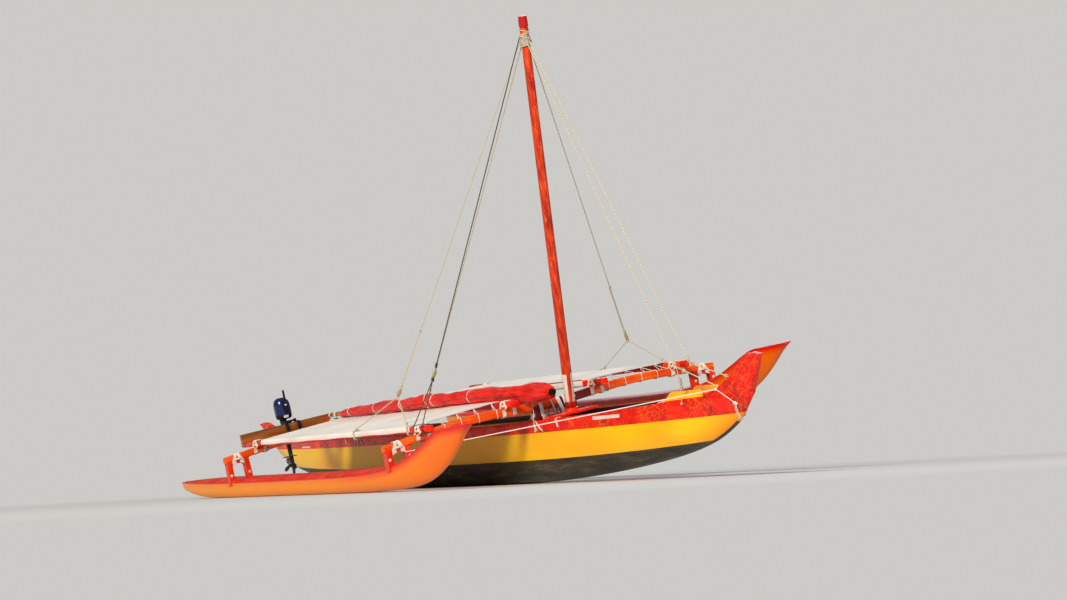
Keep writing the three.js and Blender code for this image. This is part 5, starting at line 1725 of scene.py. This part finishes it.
def bridle():
    """The taut white line from the starboard float's support to a loop round the stem."""
    shape = Shape()
    shape.rope([BRIDLE_END, BRIDLE_END.lerp(BRIDLE_BEND, 0.5), BRIDLE_BEND, STEM_KNOT], STAY_RADIUS, 8)
    run = BRIDLE_BEND - BRIDLE_END
    for share in BRIDLE_KNOTS:
        knot(shape, BRIDLE_END.lerp(BRIDLE_BEND, share), run, 3, THICK_ROPE)
    knot(shape, BRIDLE_BEND, run)
    knot(shape, STEM_KNOT, STEM_KNOT - BRIDLE_BEND, 4, THICK_ROPE)
    for x in STEM_LOOP_XS:
        keel = hull_at(x)[1]
        low, high = (half_breadth(x, z) + STEM_LOOP_GAP for z in (0.7, 0.76))
        ring = [STEM_KNOT, (x + 0.02, -low, 0.69), (x, -0.034, keel + 0.012),
                (x, 0.0, keel - 0.012), (x, 0.034, keel + 0.012), (x + 0.02, low, 0.69),
                (x + 0.04, high, 0.76)]
        shape.rope(ring, STEM_LOOP_ROPE, 8)
    return rigged("bow_bridle", shape)


bridle()

# %% [markdown]
# ## Outboard motor
#
# A small outboard hangs on the plank behind the starboard deck. Its cowl and tiller are moulded
# plastic, its leg and brackets are painted die-cast aluminium, and sand has worn the propeller
# bare. The cowl is drawn again as one fine skin over the CAD levels, with its seal, a blank
# plate, a latch and a rear air inlet. The cast pieces get the soft edges of a casting.

# %% Finishes of the motor
# Real thing: injection-moulded cowl in gloss navy. It gives the eye a clean, deep, smooth blue.
NAVY_COWL = plain_finish("injection moulded navy cowl", "#12265C", 0.26, IOR=1.5, **{"Coat Weight": 0.4})
# Real thing: textured black plastic and rubber. It gives the eye a dull near-black.
BLACK_PLASTIC = plain_finish("textured black plastic", "#0E0F11", 0.55, IOR=1.5)
# Real thing: die-cast aluminium, primed and sprayed dark blue-grey. It gives the eye paint with
# a soft sheen over rounded cast edges.
SPRAYED_CAST = plain_finish("sprayed die-cast aluminium", "#1B2233", 0.38, IOR=1.5)
# Real thing: cast aluminium, polished by sand and salt. It gives the eye a broken grey glint.
WORN_ALUMINIUM = plain_finish("sand-worn cast aluminium", "#8D9094", 0.42, Metallic=1.0)

# %% Brackets and leg
eased("clamp_bracket", 0.002, [SPRAYED_CAST])
eased("swivel_bracket", 0.003, [SPRAYED_CAST], "motor_tilt", smooth=45)
eased("motor_leg", 0.003, [SPRAYED_CAST], "motor_head", smooth=50, angle=40)
eased("propeller", 0.0012, [WORN_ALUMINIUM], "propeller", smooth=50, angle=40)

# %% Cowl
MOTOR_Y, STEER_X = -1.04, -2.89
COWL_X, COWL_STEPS, PAN_TOP = STEER_X - 0.012, 56, 1.243
# height, forward reach, rearward reach, half width
COWL_LEVELS = [(1.185, 0.062, 0.092, 0.066), (1.2, 0.084, 0.138, 0.094),
               (1.29, 0.092, 0.158, 0.104), (1.385, 0.086, 0.15, 0.099),
               (1.438, 0.066, 0.122, 0.08), (1.462, 0.034, 0.078, 0.046)]
SEAM = [PAN_TOP - 0.004, PAN_TOP - 0.002, PAN_TOP + 0.002, PAN_TOP + 0.004]
PAN_HEIGHTS = [1.185, 1.189, 1.194, 1.2, 1.212, 1.226] + SEAM[:2]
HOOD_HEIGHTS = SEAM[2:] + places(1.262, 1.43, 0.014) + [1.44, 1.449, 1.456, 1.462]
GROOVE_HALF, GROOVE_DEEP = 0.0015, 0.003
# height, share of the hood's last ring
CROWN = [(1.462, 0.82), (1.4635, 0.6), (1.4645, 0.35), (1.465, 0.1)]
# low, high, from and to in degrees, thickness, finish: blank plate, latch, inlet, four ribs
COWL_PLATES = [(1.204, 1.236, -24, 14, 0.0015, 2), (1.226, 1.262, 172, 188, 0.006, 1),
               (1.4, 1.424, 140, 220, 0.003, 1)]
COWL_PLATES += [(1.247, 1.252, middle - 16, middle + 16, 0.0012, 0) for middle in (60, -60, 120, -120)]


def cowl_point(z, angle, lift=0.0, shrink=1.0):
    """Point on the cowl's skin; angle 0 looks forward and 90 degrees to port."""
    front, back, half = (faired(COWL_LEVELS, z, column) for column in (1, 2, 3))
    turn = radians(angle)
    reach = front if cos(turn) > 0 else back
    return Vector((COWL_X + (reach * shrink + lift) * cos(turn),
                   MOTOR_Y + (half * shrink + lift) * sin(turn), z))


def cowl_ring(z, lift=0.0, shrink=1.0):
    return [cowl_point(z, 360 * i / COWL_STEPS, lift, shrink) for i in range(COWL_STEPS)]


def plate(shape, low, high, left, right, lift, finish):
    """A thin plate that follows the cowl between two heights and two angles."""
    rows = []
    for z in places(low, high, 0.008):
        angles = [left + (right - left) * i / 8 for i in range(9)]
        rows.append([cowl_point(z, a, lift) for a in angles]
                    + [cowl_point(z, a, -0.0005) for a in angles[::-1]])
    shape.skin(rows, finish)


def cowl():
    shape = Shape()
    shape.skin([cowl_ring(z) for z in PAN_HEIGHTS], 1, capped=False)
    shape.add(cowl_ring(PAN_HEIGHTS[0]), [tuple(range(COWL_STEPS))], 1)
    groove = [cowl_ring(SEAM[1]), cowl_ring(PAN_TOP - GROOVE_HALF, -GROOVE_DEEP),
              cowl_ring(PAN_TOP + GROOVE_HALF, -GROOVE_DEEP), cowl_ring(SEAM[2])]
    shape.skin(groove, 1, capped=False)
    rings = [cowl_ring(z) for z in HOOD_HEIGHTS]
    for z, shrink in CROWN:
        rings.append([(p.x, p.y, z) for p in cowl_ring(HOOD_HEIGHTS[-1], 0.0, shrink)])
    shape.skin(rings, 0, capped=False)
    shape.add(rings[-1], [tuple(range(COWL_STEPS))], 0)
    for measures in COWL_PLATES:
        plate(shape, *measures)
    return make("motor_cowl_moulded", shape, [NAVY_COWL, BLACK_PLASTIC, WHITE_VINYL],
                "motor_head", ["motor_cowl"], smooth=35)


cowl()

# %% Tiller
TILLER_FOOT, TILLER_LONG = Vector((STEER_X + 0.118, MOTOR_Y, 1.28)), 0.28
TILLER_AXIS = Vector((0.01, 0, TILLER_LONG)).normalized()
TILLER_STEPS, TILLER_RADIUS, TILLER_TAPER, TILLER_NIP = 48, 0.0145, 0.0018, 0.004
GRIP_FROM, GRIP_TO, GRIP_RIDGE = 0.11, 0.262, 0.0006    # the ridged rubber grip
BAND_FROM, BAND_TO, BAND_RADIUS = 0.082, 0.098, 0.0152    # the pale band below it
ARM_XS, ARM_Z = (STEER_X + 0.0905, STEER_X + 0.11, STEER_X + 0.13), 1.284
ARM_SIZES = (0.03, 0.031, 0.006)    # width, height, radius of the edges


def tiller():
    shape, path, radii = Shape(), [], []
    shape.skin([[(x, MOTOR_Y + across, ARM_Z + up) for across, up in rounded_box(*ARM_SIZES)]
                for x in ARM_XS])
    for i in range(TILLER_STEPS + 1):
        share = i / TILLER_STEPS
        path.append(TILLER_FOOT + TILLER_AXIS * TILLER_LONG * share)
        ridge = GRIP_RIDGE * (i % 2) if GRIP_FROM < TILLER_LONG * share < GRIP_TO else 0.0
        nip = TILLER_NIP if share in (0, 1) else 0.0
        radii.append(TILLER_RADIUS - TILLER_TAPER * share + ridge - nip)
    shape.rope(path, radii, 20)
    shape.rope([TILLER_FOOT + TILLER_AXIS * at for at in (BAND_FROM, BAND_TO)], BAND_RADIUS, 20, 1)
    return make("motor_tiller_moulded", shape, [BLACK_PLASTIC, WHITE_VINYL],
                "motor_head", ["motor_tiller"], smooth=40)


tiller()

# %% [markdown]
# ## Boom
#
# The sail is furled round a thin varnished boom that shows only at both ends. Its front end wears
# a black rubber sleeve with a lashing, so that it does not chafe the mast.

# %% Boom and its end fitting
BOOM_RADIUS, BOOM_RAISE, BOOM_REAR, BOOM_FRONT, BOOM_EASE = 0.027, 0.006, -2.42, 3.04, 0.006
SLEEVE_FROM, SLEEVE_OVER, SLEEVE_RADIUS, SLEEVE_ENDS = 2.972, 0.004, 0.0325, (0.03, 0.029)
# place along the boom, turns, radius of the cord, radius inside the turns, finish
BOOM_LASHINGS = [(2.996, 2, 0.0035, SLEEVE_RADIUS, 1), (-2.2, 4, THIN_ROPE, BOOM_RADIUS, 2),
                 (-2.36, 3, THIN_ROPE, BOOM_RADIUS, 2)]


def on_boom(x):
    return Vector((x, faired(BUNDLE, x, 1), faired(BUNDLE, x, 2) + BOOM_RAISE))


def boom():
    shape = Shape()
    xs = [BOOM_REAR, BOOM_REAR + BOOM_EASE] + places(-2.3, 2.9, 0.13)
    xs += [BOOM_FRONT - BOOM_EASE, BOOM_FRONT]
    eased_end = [BOOM_RADIUS - BOOM_EASE]
    shape.rope([on_boom(x) for x in xs], eased_end + [BOOM_RADIUS] * (len(xs) - 2) + eased_end, 20)
    sleeve = places(SLEEVE_FROM, BOOM_FRONT + SLEEVE_OVER, 0.012)
    radii = [SLEEVE_ENDS[0]] + [SLEEVE_RADIUS] * (len(sleeve) - 2) + [SLEEVE_ENDS[1]]
    shape.rope([on_boom(x) for x in sleeve], radii, 24, 1)
    for x, *measures in BOOM_LASHINGS:
        knot(shape, on_boom(x), (1, 0, 0), *measures)
    return make("boom_spar", shape, [VARNISHED_PLANK, BLACK_PLASTIC, WHITE_CORD],
                replaces=["boom"], smooth=40)


boom()

# %% [markdown]
# ## Small things on hull and decks
#
# A blank white strip of film lies on each side of the bow and a blank patch farther aft. Bolts
# with washers and pale caps hold the supports' legs to the floats. A red cord is sewn along the
# inner edge of each cloth deck. All stand off the surface, so they are pieces instead of paint.

# %% Blank film on the topsides
# low x, high x, low z, high z
FILM_STRIPS = [(3.67, 4.21, 0.722, 0.76), (-4.66, -4.32, 0.652, 0.745)]
FILM_LIFT, FILM_THICK, FILM_LEAN = 0.0012, 0.001, 0.1


def film(side):
    shape = Shape()
    for low_x, high_x, low_z, high_z in FILM_STRIPS:
        rows, lean = [], FILM_LEAN * (high_z - low_z)
        for x in places(low_x, high_x, 0.05):
            out = [Vector((x + lean * i, side * (half_breadth(x, z) + FILM_LIFT), z))
                   for i, z in enumerate(places(low_z, high_z, 0.012))]
            rows.append(out + [(p.x, p.y - side * FILM_THICK, p.z) for p in out[::-1]])
        shape.skin(rows)
    return make(f"film_{side_name(side)}", shape, [WHITE_VINYL])


for side in (1, -1):
    film(side)

# %% Bolt heads on the supports
LEG_MIDDLE, BOLT_HEIGHT, CAP_RADIUS, CAP_TALL = 0.123, 0.088, 0.012, 0.009
WASHER_RADIUS, WASHER_THICK = 0.018, 0.002
# share of the cap's height, share of its radius
CAP_CURVE = ((0, 1.0), (0.35, 0.97), (0.65, 0.85), (0.85, 0.62), (0.97, 0.3), (1.0, 0.05))


def bolt_cap(shape, place, run):
    """A round cap that stands on a face, with its washer."""
    place, run = Vector(place), Vector(run)
    shape.rope([place, place + run * WASHER_THICK], WASHER_RADIUS, 20)
    shape.rope([place + run * (WASHER_THICK + CAP_TALL * up) for up, _ in CAP_CURVE],
               [CAP_RADIUS * wide for _, wide in CAP_CURVE], 16)


def bolt_heads():
    shape = Shape()
    for end in (1, -1):
        for side in (1, -1):
            for toward in (1, -1):
                height = float_at(end * BEAM_X)[1] + BOLT_HEIGHT
                for face in (1, -1):
                    spot = (end * BEAM_X + face * SUPPORT_HALF,
                            side * FLOAT_Y + toward * LEG_MIDDLE, height)
                    bolt_cap(shape, spot, (face, 0, 0))
    return make("bolt_caps", shape, [WHITE_VINYL], smooth=40)


bolt_heads()

# %% Red cord on the inner edges of the cloth decks
RED_CORD = laid_rope("red sewn edge cord", "#7E0E10", "#C0201C")
EDGE_RADIUS, EDGE_INSET, EDGE_RAISE, EDGE_END_GAP = 0.0055, 0.006, 0.003, 0.03


def edge_cords():
    shape = Shape()
    y, z, _ = deck_profile()[5]
    reach = DECK_REACH - EDGE_END_GAP
    for side in (1, -1):
        shape.rope([(x, side * (y - EDGE_INSET), z + EDGE_RAISE)
                    for x in places(-reach, reach, 0.15)], EDGE_RADIUS, 8)
    return make("deck_edge_cords", shape, [RED_CORD], smooth=60)


edge_cords()

# %% [markdown]
# ## Braces under the seats
#
# Each plank seat rests on two small wooden cleats bonded to the hull's side, and a lashing
# through the plank holds it; the lashing is not drawn. The cleats are hidden from above but show from
# inside and below.

# %% Seat cleats
SEAT_XS = [3.75, 1.5, 0.25, -1.0, -3.25, -4.3]
CLEAT_LONG, CLEAT_WIDE, CLEAT_TALL, CLEAT_EASE, CLEAT_SUNK = 0.24, 0.022, 0.03, 0.005, 0.003
CLEAT_GAP = 0.0008


def seat_cleats():
    shape = Shape()
    for number, x in enumerate(SEAT_XS, 1):
        seat = frame["nodes"][f"seat_{number}"]
        under = min((UPRIGHT @ (seat.matrix_world @ vertex.co)).z for vertex in seat.data.vertices)
        z = under - CLEAT_GAP - CLEAT_TALL / 2
        for side in (1, -1):
            rings = []
            for at in (x - CLEAT_LONG / 2, x, x + CLEAT_LONG / 2):
                y = half_breadth(at, z, SHELL) - CLEAT_WIDE / 2 + CLEAT_SUNK
                rings.append([(at, side * (y + across), z + up) for across, up in
                              rounded_box(CLEAT_WIDE, CLEAT_TALL, CLEAT_EASE)])
            shape.skin(rings)
    return make("seat_cleats", shape, [VARNISHED_PLANK])


seat_cleats()
left = [name for name, node in frame["nodes"].items() if not node.hide_render]
print("CAD nodes still shown:", left)

# %% [markdown]
# ## Floor, light and camera
#
# The boat stands on a plain pale floor that fades into the pale world far away, so no horizon
# line cuts the picture. One large soft lamp stands where the sun stood, high to the left of the
# camera. A wide dim one fills the shade, and is kept out of reflections, where it would grey the
# gloss paint. A weak one rims the far side. A little contrast deepens the paint. The camera was
# fitted to the crossbeams, the floats and the mast: a long lens, low and about 30 m away.

# %% Camera at the photograph's angle
CAMERA_PLACE = Vector((26.9275, -13.3785, 0.2124))
CAMERA_RIGHT = Vector((0.46635, 0.8831, -0.05148))
CAMERA_UP = Vector((0.0823, 0.01463, 0.9965))
LENS_MM, SENSOR_MM = 84.35, 36.0

camera_data = bpy.data.cameras.new("camera")
camera_data.lens, camera_data.sensor_width = LENS_MM, SENSOR_MM
camera_data.clip_end = 400
camera = stand("camera", camera_data)
turn = Matrix((CAMERA_RIGHT, CAMERA_UP, CAMERA_RIGHT.cross(CAMERA_UP))).transposed()
camera.matrix_world = Matrix.Translation(CAMERA_PLACE) @ turn.to_4x4()
bpy.context.scene.camera = camera
print("Camera to boat, metres:", round(CAMERA_PLACE.length, 1))

# %% Floor and world
WORLD_TONE, FLOOR_TONE = "#E4E2DE", "#DFE3E7"
FLOOR_RADIUS, FLOOR_SIDES, FADE_FROM, FADE_TO = 180.0, 64, 5.5, 13.0
SEEN_TONE, WORLD_LIGHT = 0.68, 0.26

world = bpy.data.worlds.new("pale studio")
bpy.context.scene.world = world
world.use_nodes = True
sky = world.node_tree.nodes["Background"]
sky.inputs["Color"].default_value = tone(WORLD_TONE)
seen = add(world.node_tree, "LightPath", output="Is Camera Ray")
shown = add(world.node_tree, "MapRange", {"Value": seen, "To Min": WORLD_LIGHT, "To Max": SEEN_TONE})
world.node_tree.links.new(shown, sky.inputs["Strength"])


def floor():
    mesh = bpy.data.meshes.new("floor")
    angles = [2 * pi * i / FLOOR_SIDES for i in range(FLOOR_SIDES)]
    ring = [(FLOOR_RADIUS * cos(a), FLOOR_RADIUS * sin(a), 0.0) for a in angles]
    mesh.from_pydata(ring, [], [tuple(range(FLOOR_SIDES))])
    material, tree, _ = new_finish("matt studio floor")
    here = add(tree, "TexCoord", output="Object")
    far = add(tree, "VectorMath", {0: here}, "Value", operation="LENGTH")
    share = add(tree, "MapRange", {"Value": far, "From Min": FADE_FROM, "From Max": FADE_TO})
    matt = add(tree, "BsdfPrincipled", {"Base Color": tone(FLOOR_TONE), "Roughness": 0.9,
                                        "Specular IOR Level": 0.1})
    glow = add(tree, "Emission", {"Color": tone(WORLD_TONE), "Strength": SEEN_TONE})
    mixed = add(tree, "MixShader", {0: share, 1: matt, 2: glow})
    mesh.materials.append(close_finish(material, mixed))
    stand("floor", mesh)


floor()

# %% Lamps


def lamp(name, place, aim, size, watts, code, mirrored=True):
    """A round area lamp at a place, turned toward a point of the boat."""
    data = bpy.data.lights.new(name, "AREA")
    data.shape, data.size, data.energy = "DISK", size, watts
    data.color = tone(code)[:3]
    source = stand(name, data)
    source.visible_glossy = mirrored
    source.location = place
    source.rotation_euler = (Vector(aim) - Vector(place)).to_track_quat("-Z", "Y").to_euler()
    print(f"{name} lamp: {watts} W, {size} m across")


lamp("key", (45, -60, 36), (0, 0, 0.8), 21.0, 57000, "#FFF3E2")
lamp("fill", (24, 4, 10), (0, 0, 1.0), 14.0, 1300, "#EDF2FF", mirrored=False)
lamp("rim", (-18, 14, 14), (0, 0, 1.5), 12.0, 900, "#F2F5FF")
bpy.context.scene.view_settings.view_transform = "Standard"
bpy.context.scene.view_settings.look = "Medium High Contrast"
